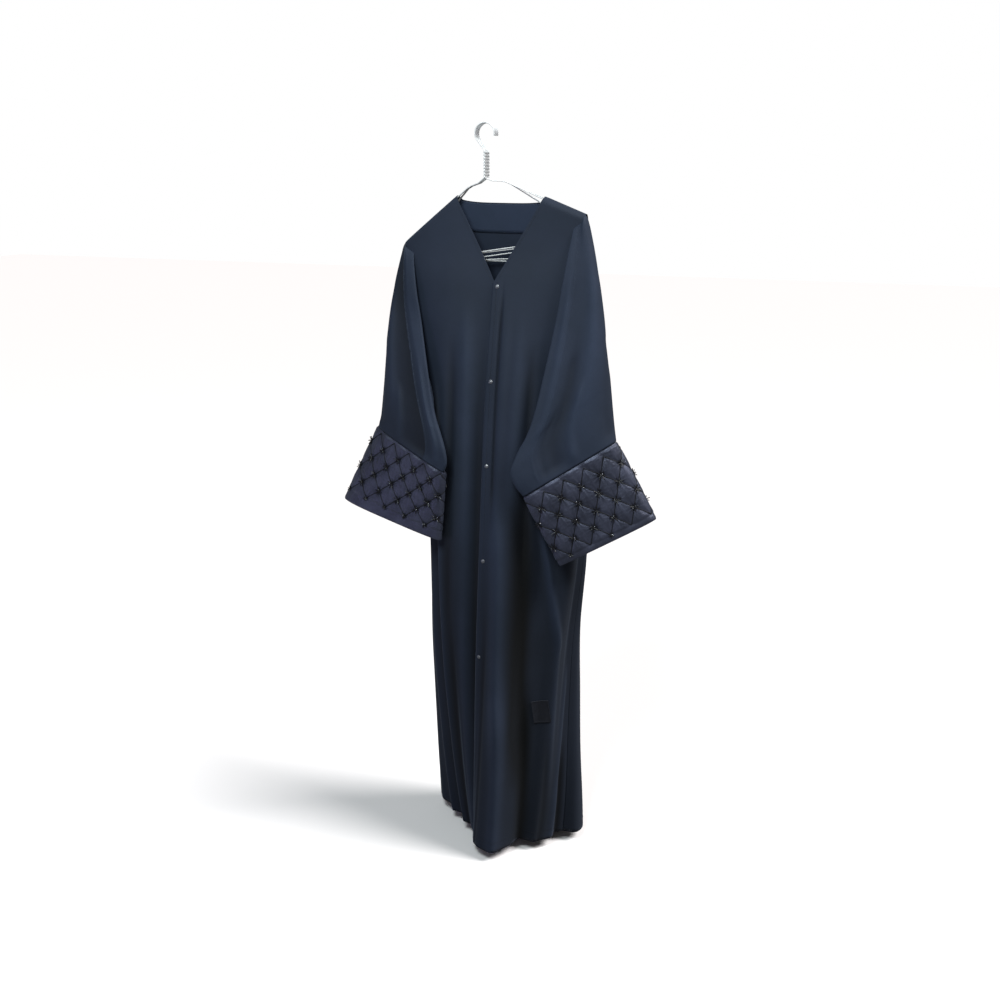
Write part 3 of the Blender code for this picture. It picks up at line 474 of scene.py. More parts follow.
def place_facing(across, down):
    """Points of the facing: the back's own, moved in, with painted light added to the back's painted
    shade.
    """
    share = 0.5 + (across - 0.5) * 2 * FACING_HALF_ANGLE / math.pi
    point, painted_shade = place_back(share, FACING_TOP + down * (FACING_FOOT - FACING_TOP))
    point[:, 1] -= FACING_INSIDE
    # painted light on top of the back's painted light and shade
    return point, painted_shade + FACING_PAINTED_LIGHT


facing = lay_cloth("back_neck_facing_cloth", FACING_GRID, place_facing, FACING_CLOTH, black_crepe)
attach(facing, "root")
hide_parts("back_neck_facing")

# --- Fronts ------------------------------------------------------------------------------------
# Two lengths of crepe, cut on a slant at the neck for the V, sewn to the back at the shoulders and
# sides.  The right one laps over the left, and both fall in soft folds from the chest.
SIGN = {"right": 1, "left": -1}
HALF_COLUMN = {"right": 1, "left": 2}  # column of the body's levels with that side's half
FREE_EDGE = {"right": -0.002, "left": 0.020}
LAP_GAP = 0.0045
LAP_SHARES = (0.05, 0.3)  # share where the left front's step begins to ease, and over
FRONT_GRID = (150, 180)
NECK_SHARE = 0.42  # share of a front's columns that lie under the neck
V_BOTTOM_Z = -0.315
V_LAP_SLOPE = 1.6
FRONT_FOLDS = {
    # share of the width, push at the hip, hem x, hem y
    "right": [
        (0.00, -0.004, -0.022, -0.118),
        (0.09, 0.004, -0.008, -0.150),
        (0.20, 0.011, 0.022, -0.164),
        (0.33, 0.004, 0.050, -0.155),
        (0.46, -0.014, 0.072, -0.122),
        (0.58, -0.006, 0.090, -0.095),
        (0.70, 0.010, 0.118, -0.092),
        (0.82, 0.004, 0.136, -0.070),
        (0.92, -0.006, 0.146, -0.040),
        (1.00, 0.000, 0.160, -0.022),
    ],
    "left": [
        (0.00, -0.006, 0.010, -0.126),
        (0.12, -0.010, -0.016, -0.108),
        (0.26, 0.006, -0.044, -0.082),
        (0.40, 0.010, -0.068, -0.062),
        (0.52, -0.004, -0.088, -0.036),
        (0.66, 0.004, -0.112, -0.026),
        (0.80, -0.006, -0.134, 0.000),
        (0.91, 0.003, -0.156, 0.014),
        (1.00, 0.000, -0.170, 0.036),
    ],
}
FRONT_CREASES = {
    # share and z where it starts, share and z where it ends, half width, height
    "right": [
        (0.010, -0.42, 0.020, -1.90, 0.022, 0.0024),
        (0.060, -0.30, 0.064, -0.78, 0.010, -0.0046),
        (0.110, -0.34, 0.100, -0.80, 0.030, 0.0016),
        (0.215, -0.36, 0.190, -0.78, 0.045, 0.0022),
        (0.310, -0.42, 0.290, -0.90, 0.040, -0.0052),
        (0.085, -0.72, 0.200, -1.28, 0.052, 0.0100),
        (0.185, -1.10, 0.345, -1.90, 0.062, 0.0100),
        (0.250, -0.70, 0.410, -1.36, 0.075, -0.0125),
        (0.440, -1.15, 0.600, -1.85, 0.060, -0.0100),
        (0.400, -0.78, 0.700, -1.08, 0.034, 0.0088),
        (0.690, -1.02, 0.760, -1.42, 0.034, 0.0040),
        (0.060, -0.95, 0.110, -1.75, 0.022, -0.0034),
        (0.930, -1.12, 0.850, -1.50, 0.030, 0.0046),
        (0.855, -1.40, 0.875, -1.85, 0.030, 0.0050),
        (0.940, -1.30, 0.945, -1.85, 0.030, -0.0060),
        (0.720, -1.25, 0.760, -1.80, 0.046, -0.0040),
    ],
    "left": [
        (0.076, -0.36, 0.080, -1.90, 0.036, -0.0056),
        (0.190, -0.33, 0.165, -0.90, 0.050, 0.0046),
        (0.165, -0.82, 0.200, -1.90, 0.046, 0.0056),
        (0.300, -0.40, 0.320, -1.05, 0.042, -0.0052),
        (0.400, -0.74, 0.370, -1.24, 0.020, 0.0044),
        (0.370, -1.10, 0.410, -1.85, 0.026, 0.0034),
        (0.290, -0.98, 0.300, -1.80, 0.040, -0.0052),
        (0.500, -0.60, 0.500, -1.60, 0.044, -0.0044),
        (0.590, -0.80, 0.660, -1.75, 0.034, 0.0026),
        (0.710, -0.85, 0.780, -1.75, 0.040, -0.0030),
        (0.240, -1.18, 0.235, -1.75, 0.018, 0.0016),
    ],
}


def place_front(side):
    """Function that gives the points of one front, from its free edge to its side seam."""
    sign, half = SIGN[side], BODY_LEVELS[1][HALF_COLUMN[side]]
    first = float(edge_angle(np.array(FREE_EDGE[side]), half))
    neck = float(edge_angle(np.array(sign * (NECK_HALF - NECK_TURN / 2)), half))
    last = sign * math.pi / 2

    def place(across, down):
        angle = np.interp(across, [0.0, NECK_SHARE, 1.0], [first, neck, last])
        x = body_oval(angle, np.full(len(angle), NECK_READ_Z), False)[:, 0] - CENTRE_X
        ridge = shoulder_line(CENTRE_X + x)
        neck_top = float(shoulder_line(CENTRE_X + sign * NECK_HALF))
        slant = V_BOTTOM_Z + (neck_top - V_BOTTOM_Z) * np.abs(x) / NECK_HALF
        slant = np.where(x * sign > 0, slant, V_BOTTOM_Z - np.abs(x) * V_LAP_SLOPE)
        slant = np.minimum(slant, ridge - NECK_TURN * 2)
        top = np.where(np.abs(x) < NECK_HALF - NECK_TURN / 2, slant, ridge)
        z = fall_levels(top, down)
        share = (angle - first) / (last - first)
        point, outward = hanging_panel(angle, share, z, FRONT_FOLDS[side], False)
        if side == "left":
            under = 1.0 - ease((share - LAP_SHARES[0]) / LAP_SHARES[1])
            point -= outward * (LAP_GAP * under)[:, None]
        height = crease_heights(FRONT_CREASES[side], share, z) * ease((1 - share) / SEAM_STILL)
        point += outward * height[:, None]
        shoulder = down < 1e-6
        point[shoulder, 1] = np.minimum(point[shoulder, 1], -SHOULDER_SEAM_HALF)
        point[across > 1 - 1e-6, 1] += SIDE_SEAM_LAP
        # the front's painted light and shade, from its creases' heights and its level
        return point, painted_panel_shade(height, z)

    return place


fronts = {}
for side in SIGN:
    fronts[side] = lay_cloth(f"front_{side}_panel", FRONT_GRID, place_front(side), CLOTH, black_crepe)
    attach(fronts[side], "root")
    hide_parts(f"front_{side}")

# --- Sleeves -----------------------------------------------------------------------------------
# Wide straight sleeves of crepe set into the armholes.  Each is folded along its length, hangs
# forward over the front, and narrows to a thin fold on the inner side.
SLEEVE_GRID = (170, 110)
SLEEVE_CAP = (0.012, 0.0030)  # how far the head stands out from the shoulder's end, and down
SLEEVE_LIFT = 0.0076
SLEEVE_CLEAR = 0.0100
SLEEVE_BOW = 0.006
BEHIND_FOLD = (0.840, 0.885, 0.930, 0.972)  # shares of the ring that lie behind its inner fold
EDGE_SPACING = 0.0055
EDGE_CLEAR = 0.0027
CUFF_SEAM = 0.0011
ARMHOLE_SHARE = 0.5  # share of its length over which a sleeve is sewn to the body
SLEEVE_HEAD = 0.16  # share of its length over which it comes away from the cloak
SEAM_SINK = 0.0034  # how far in from the shoulder's end the seam is sewn
CREASE_ROWS = (0.0, 0.12, 1.0, 0.06)  # where creases start and end down a sleeve, and round it
CREASE_COLUMNS = (0.16, 0.08, 0.92, 0.08)
TIP_COLUMNS = (0.30, 0.25, 0.95, 0.15)  # columns that go over the shoulder's end
BACK_COLUMNS = (0.60, 0.10)  # column where the head passes to the back, and over how many
PLEAT_EDGE = 0.016  # widths of a pleat's edge, of the step past it and before it
PLEAT_STEP = 0.30
PLEAT_HOLLOW = 0.09
RING_POINTS = 104
RING_START = 0.012  # share of the ring where the front starts
RING_COLUMNS = 18
TRAIL_COLUMNS = 5
GUIDE_ROWS = (*np.linspace(0.0, 0.5, 6), *np.linspace(0.54, 0.76, 6), *np.linspace(0.84, 1.0, 3))
SLEEVE_STATIONS = {
    "right": [
        # share, inner x, inner y, inner z, inner and outer thickness
        (0.00, 0.1640, -0.0310, -0.2050, 0.007, 0.034),
        (0.20, 0.1520, -0.0420, -0.3070, 0.009, 0.034),
        (0.45, 0.1310, -0.0800, -0.4590, 0.011, 0.042),
        (0.68, 0.1040, -0.1160, -0.6050, 0.016, 0.046),
        (0.82, 0.0720, -0.1360, -0.6830, 0.020, 0.048),
        (0.92, 0.0830, -0.1370, -0.7200, 0.022, 0.050),
        (1.00, 0.1010, -0.1340, -0.7430, 0.024, 0.050),
    ],
    "left": [
        # share, inner x, inner y, inner z, inner and outer thickness
        (0.00, -0.1930, -0.0310, -0.2620, 0.007, 0.034),
        (0.20, -0.1740, -0.0420, -0.3500, 0.009, 0.034),
        (0.45, -0.1430, -0.0800, -0.4700, 0.011, 0.042),
        (0.68, -0.1080, -0.1160, -0.5900, 0.016, 0.046),
        (0.82, -0.0800, -0.1380, -0.6500, 0.020, 0.048),
        (0.92, -0.0730, -0.1430, -0.6850, 0.022, 0.048),
        (1.00, -0.0800, -0.1440, -0.7050, 0.024, 0.046),
    ],
}
CUFF_CORNERS = {
    "right": {
        "outer_seam": (0.2760, -0.0640, -0.6270), "inner_seam": (0.1010, -0.1340, -0.7430),
        "outer_mouth": (0.3640, -0.0640, -0.7830), "inner_mouth": (0.1800, -0.1260, -0.8850),
        "inner_depth": 0.024, "outer_depth": 0.050,
    },
    "left": {
        "outer_seam": (-0.2680, -0.0800, -0.6310), "inner_seam": (-0.0800, -0.1440, -0.7050),
        "outer_mouth": (-0.3520, -0.0900, -0.8020), "inner_mouth": (-0.0900, -0.1460, -0.8550),
        "inner_depth": 0.024, "outer_depth": 0.046,
    },
}
SLEEVE_CREASES = {
    # column and row share where it starts, and where it ends, half width, height
    "right": [
        (0.60, 0.06, 0.52, 0.85, 0.060, 0.0046),
        (0.43, 0.26, 0.36, 1.05, 0.045, -0.0044),
        (0.28, 0.10, 0.26, 0.80, 0.045, 0.0036),
        (0.71, 0.30, 0.66, 1.00, 0.040, -0.0034),
        (0.50, 0.55, 0.45, 1.10, 0.026, 0.0034),
        (0.75, 0.60, 0.79, 1.10, 0.028, 0.0034),
        (0.34, 0.62, 0.30, 1.08, 0.020, -0.0020),
    ],
    "left": [
        (0.60, 0.12, 0.54, 0.85, 0.050, 0.0034),
        (0.70, 0.35, 0.66, 1.05, 0.040, -0.0034),
        (0.48, 0.60, 0.50, 1.10, 0.026, 0.0026),
        (0.24, 0.30, 0.22, 1.05, 0.026, 0.0022),
    ],
}
SLEEVE_PLEAT = {
    # rows down the sleeve, columns where its inner strip folds over the rest, step, how much painted
    # light the sleeve gets, and how much painted shade darkens it beyond the strip
    "right": ([0.0, 0.35, 1.0], [0.36, 0.30, 0.26], 0.0012, 0.35, 0.0),
    "left": ([0.0, 0.12, 0.35, 0.70, 1.0], [0.50, 0.44, 0.335, 0.300, 0.290], 0.0050, 0.35, 0.60),
}


def line_run(points):
    """Distance along a line of points, at each of them."""
    return np.concatenate([[0.0], np.cumsum(np.linalg.norm(np.diff(points, axis=0), axis=1))])


def read_line(points, run, wanted):
    """Points of a line at the wanted distances along it."""
    return np.stack([np.interp(wanted, run, points[:, k]) for k in range(3)], axis=-1)


def flat_ring(inner, outer, inner_depth, outer_depth, count):
    """Flattened ring from the back of the inner fold, round it, across the front and back again."""
    inner, outer = np.asarray(inner, float), np.asarray(outer, float)
    width = np.linalg.norm(outer - inner)
    across = (outer - inner) / width
    behind = np.array([0.0, 1.0, 0.0])
    behind = behind - across * across.dot(behind)
    behind /= np.linalg.norm(behind)
    turn = np.linspace(0.0, 2 * math.pi, count * 8 + 1)
    c, s = -np.cos(turn), -np.sin(turn)
    along = 0.5 + 0.5 * np.sign(c) * np.abs(c) ** 0.62
    aside = 0.5 + 0.5 * np.sign(s) * np.abs(s) ** 0.80
    aside *= inner_depth + (outer_depth - inner_depth) * along
    points = inner + across * (along * width)[:, None] + behind * aside[:, None]
    run = line_run(points)
    return read_line(points, run, np.linspace(0.0, 1.0, count + 1)[:-1] * run[-1])


def evenly_along(points, count):
    """`count` points evenly spaced along the smooth curve through `points`."""
    points = np.asarray(points, float)
    run = line_run(points)
    fine = curve_through(run, points, np.linspace(0, run[-1], 8 * count))
    run = line_run(fine)
    return read_line(fine, run, np.linspace(0.0, run[-1], count))


def from_centre(point):
    """Place of a point given from the cloak's centre line."""
    return np.array(point) + (CENTRE_X, 0.0, 0.0)


def armhole_edge(side, z, back):
    """Side edge of the front or back at a level."""
    folds = BACK_FOLDS if back else FRONT_FOLDS[side]
    share = 0.0 if back and side == "right" else 1.0
    return hanging_panel(SIGN[side] * math.pi / 2, share, z, folds, back)[0][0]


def front_angle(side, x, z):
    """Angle of a front at a distance from the centre line and a level."""
    levels = np.array(BODY_LEVELS)
    half = curve_through(levels[:, 0], levels[:, HALF_COLUMN[side]], z)[0, 0]
    return SIGN[side] * abs(float(edge_angle(np.array(x), half)))


def over_front(side, angle, z, lift):
    """Point a little in front of a front, over its folds."""
    sign, folds = SIGN[side], FRONT_FOLDS[side]
    share = min(abs(angle) / (math.pi / 2), 1.0)
    point = hanging_panel(angle, share, z, folds, False)[0][0]
    beside = hanging_panel(angle - sign * 0.06, share - 0.04, z, folds, False)[0][0]
    along = (point - beside) * sign
    outward = np.array([along[1], -along[0], 0.0])
    outward = outward / np.linalg.norm(outward) + np.array([0.0, -1.0, 0.0])
    return point + outward / np.linalg.norm(outward) * lift


def sleeve_guides(side):
    """Guide points of a sleeve: rows from shoulder to cuff, columns round it from its underarm."""
    sign = SIGN[side]
    stations = np.array(SLEEVE_STATIONS[side])
    tip_x = CENTRE_X + sign * BODY_LEVELS[0][HALF_COLUMN[side]]
    tip = np.array([tip_x + sign * SLEEVE_CAP[0], 0.0, float(shoulder_line(tip_x)) - SLEEVE_CAP[1]])
    outer_end = from_centre(CUFF_CORNERS[side]["outer_seam"])
    edge_step = np.array([sign * EDGE_CLEAR, 0.0, 0.0])
    rows = []
    for t in GUIDE_ROWS:
        row = curve_through(stations[:, 0], stations[:, 1:], t)[0]
        inner, inner_depth, outer_depth = from_centre(row[:3]), row[3], row[4]
        fold_angle = front_angle(side, row[0], inner[2])
        front_y = over_front(side, fold_angle, inner[2], 0.0)[1]
        inner[1] = min(inner[1], front_y - inner_depth - SLEEVE_CLEAR)
        outer = tip + (outer_end - tip) * t
        outer[0] += sign * SLEEVE_BOW * math.sin(math.pi * t)
        outer[1] -= outer_depth * 0.6 * (1 - t)
        loop = flat_ring(inner, outer, inner_depth, outer_depth, RING_POINTS)
        opened = float(1.0 - ease((t - ARMHOLE_SHARE) / 0.2))
        closed = float(ease((t - 0.6) / 0.15))
        level = tip[2] + (UNDERARM_Z - tip[2]) * min(t / ARMHOLE_SHARE, 1.0)
        start_angle = sign * math.pi / 2 * opened + fold_angle * (1 - opened)
        start_z = level * opened + inner[2] * (1 - opened)
        lead = []
        for k, share in enumerate(BEHIND_FOLD):
            spot = 0.4 * k
            angle = start_angle + (fold_angle - start_angle) * spot
            over = over_front(side, angle, start_z + (inner[2] - start_z) * spot, SLEEVE_LIFT)
            if t <= ARMHOLE_SHARE and k == 0:
                over = armhole_edge(side, level, False) + edge_step * (1.0 + t)
                over[1] -= 0.0026 + 0.004 * t
            settled = 1.0 if k == 3 else closed
            lead.append(over * (1 - settled) + loop[int(RING_POINTS * share)] * settled)
        if t <= ARMHOLE_SHARE:
            end = armhole_edge(side, level, True) + edge_step * (1.0 + 4 * t)
        else:
            outside = SLEEVE_LIFT + 0.004 * opened**3
            onward = over_front(side, start_angle + sign * 0.02, start_z, outside) - lead[0]
            end = lead[0] + onward / np.linalg.norm(onward) * EDGE_SPACING
        end = end * (1 - closed) + loop[int(RING_POINTS * (BEHIND_FOLD[0] - 0.007))] * closed
        ring_end = 0.50 + 0.12 * min(t / 0.3, 1.0)
        ring = [loop[int(RING_POINTS * s)] for s in np.linspace(RING_START, ring_end, RING_COLUMNS)]
        trail = evenly_along([ring[-2], ring[-1], end], TRAIL_COLUMNS)[1:]
        rows.append(np.concatenate([lead, evenly_along(ring, RING_COLUMNS), trail]))
    back_off = rows[-2] - rows[-1]
    rows[-1] = rows[-1] + back_off / np.linalg.norm(back_off, axis=1, keepdims=True) * CUFF_SEAM
    return np.array(rows)


def between_guides(guides, across, down):
    """Points of the smooth surface through a table of guide points."""
    rows, columns = guides.shape[:2]
    row_place = np.unique(down)
    column_place = np.unique(across)
    wide = curve_through(np.arange(columns), guides.transpose(1, 0, 2).reshape(columns, -1),
                         column_place * (columns - 1))
    wide = wide.reshape(len(column_place), rows, 3).transpose(1, 0, 2)
    full = curve_through(np.arange(rows), wide.reshape(rows, -1), row_place * (rows - 1))
    full = full.reshape(len(row_place), len(column_place), 3)
    return full, np.searchsorted(row_place, down), np.searchsorted(column_place, across)


def grid_normals(grid):
    """Unit normal at each point of a table of points, outward at the middle of the front."""
    normals = np.cross(np.gradient(grid, axis=1), np.gradient(grid, axis=0))
    normals /= np.maximum(np.linalg.norm(normals, axis=2, keepdims=True), 1e-12)
    return -normals if np.sum(normals[:, grid.shape[1] // 2, 1]) > 0 else normals


def on_body(side, points, behind):
    """Points moved onto the cloak's front or, where `behind` is 1, onto its back."""
    sign, half = SIGN[side], BODY_LEVELS[0][HALF_COLUMN[side]]
    reach = np.minimum((points[:, 0] - CENTRE_X) * sign, half - SEAM_SINK)
    top = shoulder_line(CENTRE_X + sign * reach)
    over = 4 * behind * (1 - behind)
    z = np.minimum(points[:, 2], top - SEAM_SINK * 0.8) * (1 - over) + (top + 0.0002) * over
    angle = edge_angle(sign * reach, half)
    front, back_side = body_oval(angle, z, False), body_oval(angle, z, True)
    return front * (1 - behind)[:, None] + back_side * behind[:, None]


def place_sleeve(side):
    """Function that gives the points of one sleeve, its head sewn flush to the shoulder."""
    guides = sleeve_guides(side)

    def place(across, down):
        across, down = np.round(across, 6), np.round(down, 6)
        full, row, column = between_guides(guides, across, down)
        column_share, row_share = np.unique(across), np.unique(down)
        rise = (row_share / SLEEVE_HEAD).clip(0, 1)
        round_off = np.sqrt(1.0 - (1.0 - rise) ** 2)
        near_tip = window(column_share, *TIP_COLUMNS)
        let_go = ease(rise)[:, None] * (1 - near_tip) + round_off[:, None] * near_tip
        seam = on_body(side, full[0], ease((column_share - BACK_COLUMNS[0]) / BACK_COLUMNS[1]))
        full = seam * (1 - let_go[:, :, None]) + full * let_go[:, :, None]
        normals = grid_normals(full)
        height = crease_heights(SLEEVE_CREASES[side], across, down)
        rows, columns, step, painted_light, painted_shade_beyond = SLEEVE_PLEAT[side]
        past = across - np.interp(down, rows, columns)
        height -= step * window(past, 0.0, PLEAT_EDGE, PLEAT_STEP, PLEAT_STEP)
        height -= step * 0.6 * ease(1 + past / PLEAT_HOLLOW) * (past < 0)
        height *= window(down, *CREASE_ROWS) * window(across, *CREASE_COLUMNS)
        # painted light and shade: folds paler, creases darker, the sleeve painted paler and the part
        # beyond the strip painted darker
        painted_shade = np.tanh(height / PAINTED_SHADE_FOLD) + painted_light - painted_shade_beyond * ease(past / PLEAT_EDGE)
        return full[row, column] + normals[row, column] * height[:, None], painted_shade

    return place


for side in SIGN:
    sleeve = lay_cloth(f"sleeve_{side}_cloth", SLEEVE_GRID, place_sleeve(side), CLOTH, black_crepe)
    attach(sleeve, "root")
    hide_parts(f"sleeve_{side}")

# --- Cuffs -------------------------------------------------------------------------------------
# Deep flared cuffs of puffed taffeta over a backing.  A lattice of thin cord is sewn down over the
# taffeta in diamonds, which puff up between the lines and gather where they cross.
CUFF_WALL = 0.0022
CUFF_PUFF = 0.002619
CUFF_DIAMONDS = 10
CUFF_LATTICE_ROWS = 10
CUFF_COLUMNS = 320
CUFF_ROWS = 84
BACKING_ROWS = 24
DIAMOND_REACH = (0.031, 0.024)  # size of a step of the lattice round the cuff and down it
PILLOW_FULLNESS = 0.36
FURROW_HALF = 0.013  # how far from a crossing the puff is held down
GATHER_HEIGHT = 0.00095
GATHER_REACH = 0.0100
GATHERS = 13
SLACK_HEIGHT = 0.00022
BORDER_PUFF = 0.0011
LATTICE = {
    # columns that the lattice is turned, columns that it slants in a row, heading, border
    "right": (0.0, -0.1, 0.060, 0.080),
    "left": (3.2, 0.0, 0.025, 0.150),
}

cuff_taffeta = woven_cloth("cuff_taffeta", (0.0084, 0.0091, 0.0142), (0.0204, 0.0218, 0.0342),
                           2600.0, 0.25, 0.40, 0.30, 0.08, 26.0,
                           **{"Specular IOR Level": 0.42, "Specular Tint": (0.68, 0.74, 1.0, 1)})


def off_lattice(side, column, row):
    """Share round the cuff and share down it of a place in the lattice."""
    turned, slant, heading, border = LATTICE[side]
    around = (column - turned - slant * row) / (4 * CUFF_DIAMONDS)
    return around, heading + row / CUFF_LATTICE_ROWS * (1.0 - border - heading)


def cuff_height(side, around, down):
    """Height of the taffeta over its backing: pillows between cords, gathers round crossings."""
    turned, slant, heading, border = LATTICE[side]
    row = (down - heading) / (1.0 - border - heading) * CUFF_LATTICE_ROWS
    column = around * 4 * CUFF_DIAMONDS + turned + slant * row
    one, other = (row + column) / 4, (row - column) / 4
    within = ease(down / 0.03) * ease((CUFF_LATTICE_ROWS + 0.25 - row) / 0.5)
    from_one, from_other = one - np.round(one), other - np.round(other)
    sideways = (from_one + from_other) * DIAMOND_REACH[0]
    endways = (from_one - from_other) * DIAMOND_REACH[1]
    away = np.hypot(sideways, endways)
    node_number = np.round(one) * 3.1 + np.round(other) * 5.7
    gather = np.cos(GATHERS * np.arctan2(sideways, endways) + node_number)
    gather *= GATHER_HEIGHT * np.exp(-away / GATHER_REACH) * ease(away / 0.003)
    pillow = (np.abs(np.sin(math.pi * one) * np.sin(math.pi * other)) + 1e-9) ** PILLOW_FULLNESS
    pillow *= CUFF_PUFF * (0.30 + 0.70 * ease(away / FURROW_HALF))
    slack = SLACK_HEIGHT * np.sin(37 * around * 6.3 + 9 * down) * np.sin(23 * down + 17 * around)
    plain = BORDER_PUFF * ease((row - CUFF_LATTICE_ROWS) / 0.3) * ease((1 - down) / 0.02)
    return within * (pillow + gather + slack) + plain


def cuff_rings(side):
    """Backing of a cuff as a table of points, with its outward normals."""
    corners = CUFF_CORNERS[side]
    depths = corners["inner_depth"], corners["outer_depth"]
    rings = []
    for down in np.linspace(0.0, 1.0, CUFF_ROWS + 1):
        ends = [from_centre(corners[f"{end}_seam"]) * (1 - down)
                + from_centre(corners[f"{end}_mouth"]) * down for end in ("inner", "outer")]
        rings.append(flat_ring(*ends, *depths, CUFF_COLUMNS))
    ring = np.array(rings)
    wrapped = np.concatenate([ring[:, -1:], ring, ring[:, :1]], axis=1)
    normals = np.cross(wrapped[:, 2:] - wrapped[:, :-2], np.gradient(ring, axis=0))
    normals /= np.linalg.norm(normals, axis=2, keepdims=True)
    if np.sum(normals * (ring - ring.mean(axis=1, keepdims=True))) < 0:
        normals = -normals
    return ring - normals * CUFF_WALL / 2, normals


def cuff_surface(side):
    """Function that gives a point on the taffeta, its normal and the backing's point under it."""
    tables = cuff_rings(side)

    def read(around, down, lift=0.0):
        around, down = np.atleast_1d(around) % 1.0, np.clip(np.atleast_1d(down), 0.0, 1.0)
        column, row = around * CUFF_COLUMNS, down * CUFF_ROWS
        c, r = np.floor(column).astype(int), np.minimum(np.floor(row).astype(int), CUFF_ROWS - 1)
        fc, fr = (column - c)[:, None], (row - r)[:, None]
        c0, c1 = c % CUFF_COLUMNS, (c + 1) % CUFF_COLUMNS
        backing, normal = (
            (table[r, c0] * (1 - fc) + table[r, c1] * fc) * (1 - fr)
            + (table[r + 1, c0] * (1 - fc) + table[r + 1, c1] * fc) * fr for table in tables)
        rise = CUFF_WALL + cuff_height(side, around, down) + lift
        return backing + normal * rise[:, None], normal, backing

    return read


def lay_cuff(side, read):
    """Cuff as one closed wall: taffeta outside, round the mouth, and its plain backing inside."""
    bm, shares = cloth_grid(CUFF_COLUMNS, CUFF_ROWS + BACKING_ROWS)
    outside_share = CUFF_ROWS / (CUFF_ROWS + BACKING_ROWS)
    outside = shares[:, 1] <= outside_share + 1e-6
    inside_down = 1 - (shares[:, 1] - outside_share) / (1 - outside_share)
    down = np.where(outside, shares[:, 1] / outside_share, inside_down)
    points, _, plain = read(shares[:, 0], down)
    for vert, point in zip(bm.verts, np.where(outside[:, None], points, plain)):
        vert.co = point
    bmesh.ops.remove_doubles(bm, verts=bm.verts, dist=1e-6)
    bmesh.ops.bridge_loops(bm, edges=[edge for edge in bm.edges if edge.is_boundary])
    bmesh.ops.recalc_face_normals(bm, faces=bm.faces)
    return mesh_piece(f"cuff_{side}_taffeta", bm, cuff_taffeta, 60)


cuff_reads = {side: cuff_surface(side) for side in SIGN}
cuffs = {}
for side in SIGN:
    cuffs[side] = lay_cuff(side, cuff_reads[side])
    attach(cuffs[side], "root")
    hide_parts(f"cuff_{side}")

# --- Cord lattice of the cuffs -----------------------------------------------------------------
# Thin black cord couched along the diamonds' sides, from the heading to just above the border.
CORD_RADIUS = 0.00105
CORD_LIFT = 0.0007
CORD_STEPS = 46

lattice_cord = woven_cloth("lattice_cord", (0.0012, 0.0012, 0.0018), (0.0028, 0.0028, 0.0040),
                           3200.0, 0.2, 0.6, 0.3, 0.05)


def round_lines(name, lines, radius, roundness, finish):
    """Piece with a round cord or wire along each line of points."""
    curve = bpy.data.curves.new(name, "CURVE")
    curve.dimensions = "3D"
    curve.bevel_depth = radius
    curve.bevel_resolution = roundness
    curve.use_fill_caps = True
    for line in lines:
        run = curve.splines.new("POLY")
        run.points.add(len(line) - 1)
        for knot, place in zip(run.points, line):
            knot.co = (*place, 1.0)
    curve.materials.append(finish)
    return link_object(name, curve)


lattices = {}
row = np.linspace(0.0, CUFF_LATTICE_ROWS, CORD_STEPS)
for side in SIGN:
    lines = []
    for diamond in range(CUFF_DIAMONDS):
        for lean in (1, -1):
            around, down = off_lattice(side, 4 * diamond + lean * row, row)
            lines.append(cuff_reads[side](around, down, CORD_LIFT)[0])
    lattices[side] = round_lines(f"cuff_{side}_cords", lines, CORD_RADIUS, 1, lattice_cord)
    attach(lattices[side], "root")

# --- Beads of the cuffs ------------------------------------------------------------------------
# A star two centimetres across sewn at each crossing: black glass bugle beads laid like petals
# round a seed bead, with one to three tiny silver-lined beads among them.
BUGLE_LENGTH = 0.0090
BUGLE_RADIUS = 0.00095
BUGLES_IN_STAR = 7
BUGLE_SIDES = 8
SEED_RADIUS = 0.0013
SILVER_RADIUS = 0.00060
STAR_LIFT = 0.0012
BUGLE_START = 0.0012  # where a bugle starts from the star's middle, and its lift
BUGLE_LIFT = 0.0008
SEED_LIFT = 0.0010
SILVER_LIFT = 0.0028
LAST_STAR_SIZE = 0.55  # the stars along the border are smaller, and some are left out
LEFT_OUT = 0.4
DICE_SEED = {"right": 11, "left": 12}


def bright_finish(name, noise, dark, pale, roughness, sockets, stops=(0.0, 1.0)):
    """Material of a hard bright thing: noise varies its colour and its roughness a little."""
    finish, tree, shader = new_material(name, sockets)
    where = new_node(tree, "ShaderNodeTexCoord")
    patches = new_node(tree, "ShaderNodeTexNoise", **noise)
    tone = new_node(tree, "ShaderNodeValToRGB")
    for stop, place, colour in zip(tone.color_ramp.elements, stops, (dark, pale)):
        stop.position, stop.color = place, (*colour, 1)
    gloss = new_node(tree, "ShaderNodeMapRange", **{"To Min": roughness[0], "To Max": roughness[1]})
    join(tree, (where, "Object", patches, "Vector"), (patches, "Fac", tone, "Fac"),
         (patches, "Fac", gloss, "Value"), (tone, "Color", shader, "Base Color"),
         (gloss, "Result", shader, "Roughness"))
    return finish


black_glass = bright_finish(
    "black_glass_beads", {"Scale": 900.0, "Detail": 2.0}, (0.0015, 0.0015, 0.0022),
    (0.0045, 0.0045, 0.0065), (0.16, 0.42),
    {"Coat Weight": 0.10, "Coat Roughness": 0.08, "Specular IOR Level": 0.22})
silver_lined = bright_finish(
    "silver_lined_beads", {"Scale": 700.0, "Detail": 2.0}, (0.34, 0.35, 0.38),
    (0.62, 0.64, 0.68), (0.14, 0.38), {"Metallic": 0.85, "Coat Weight": 0.5})


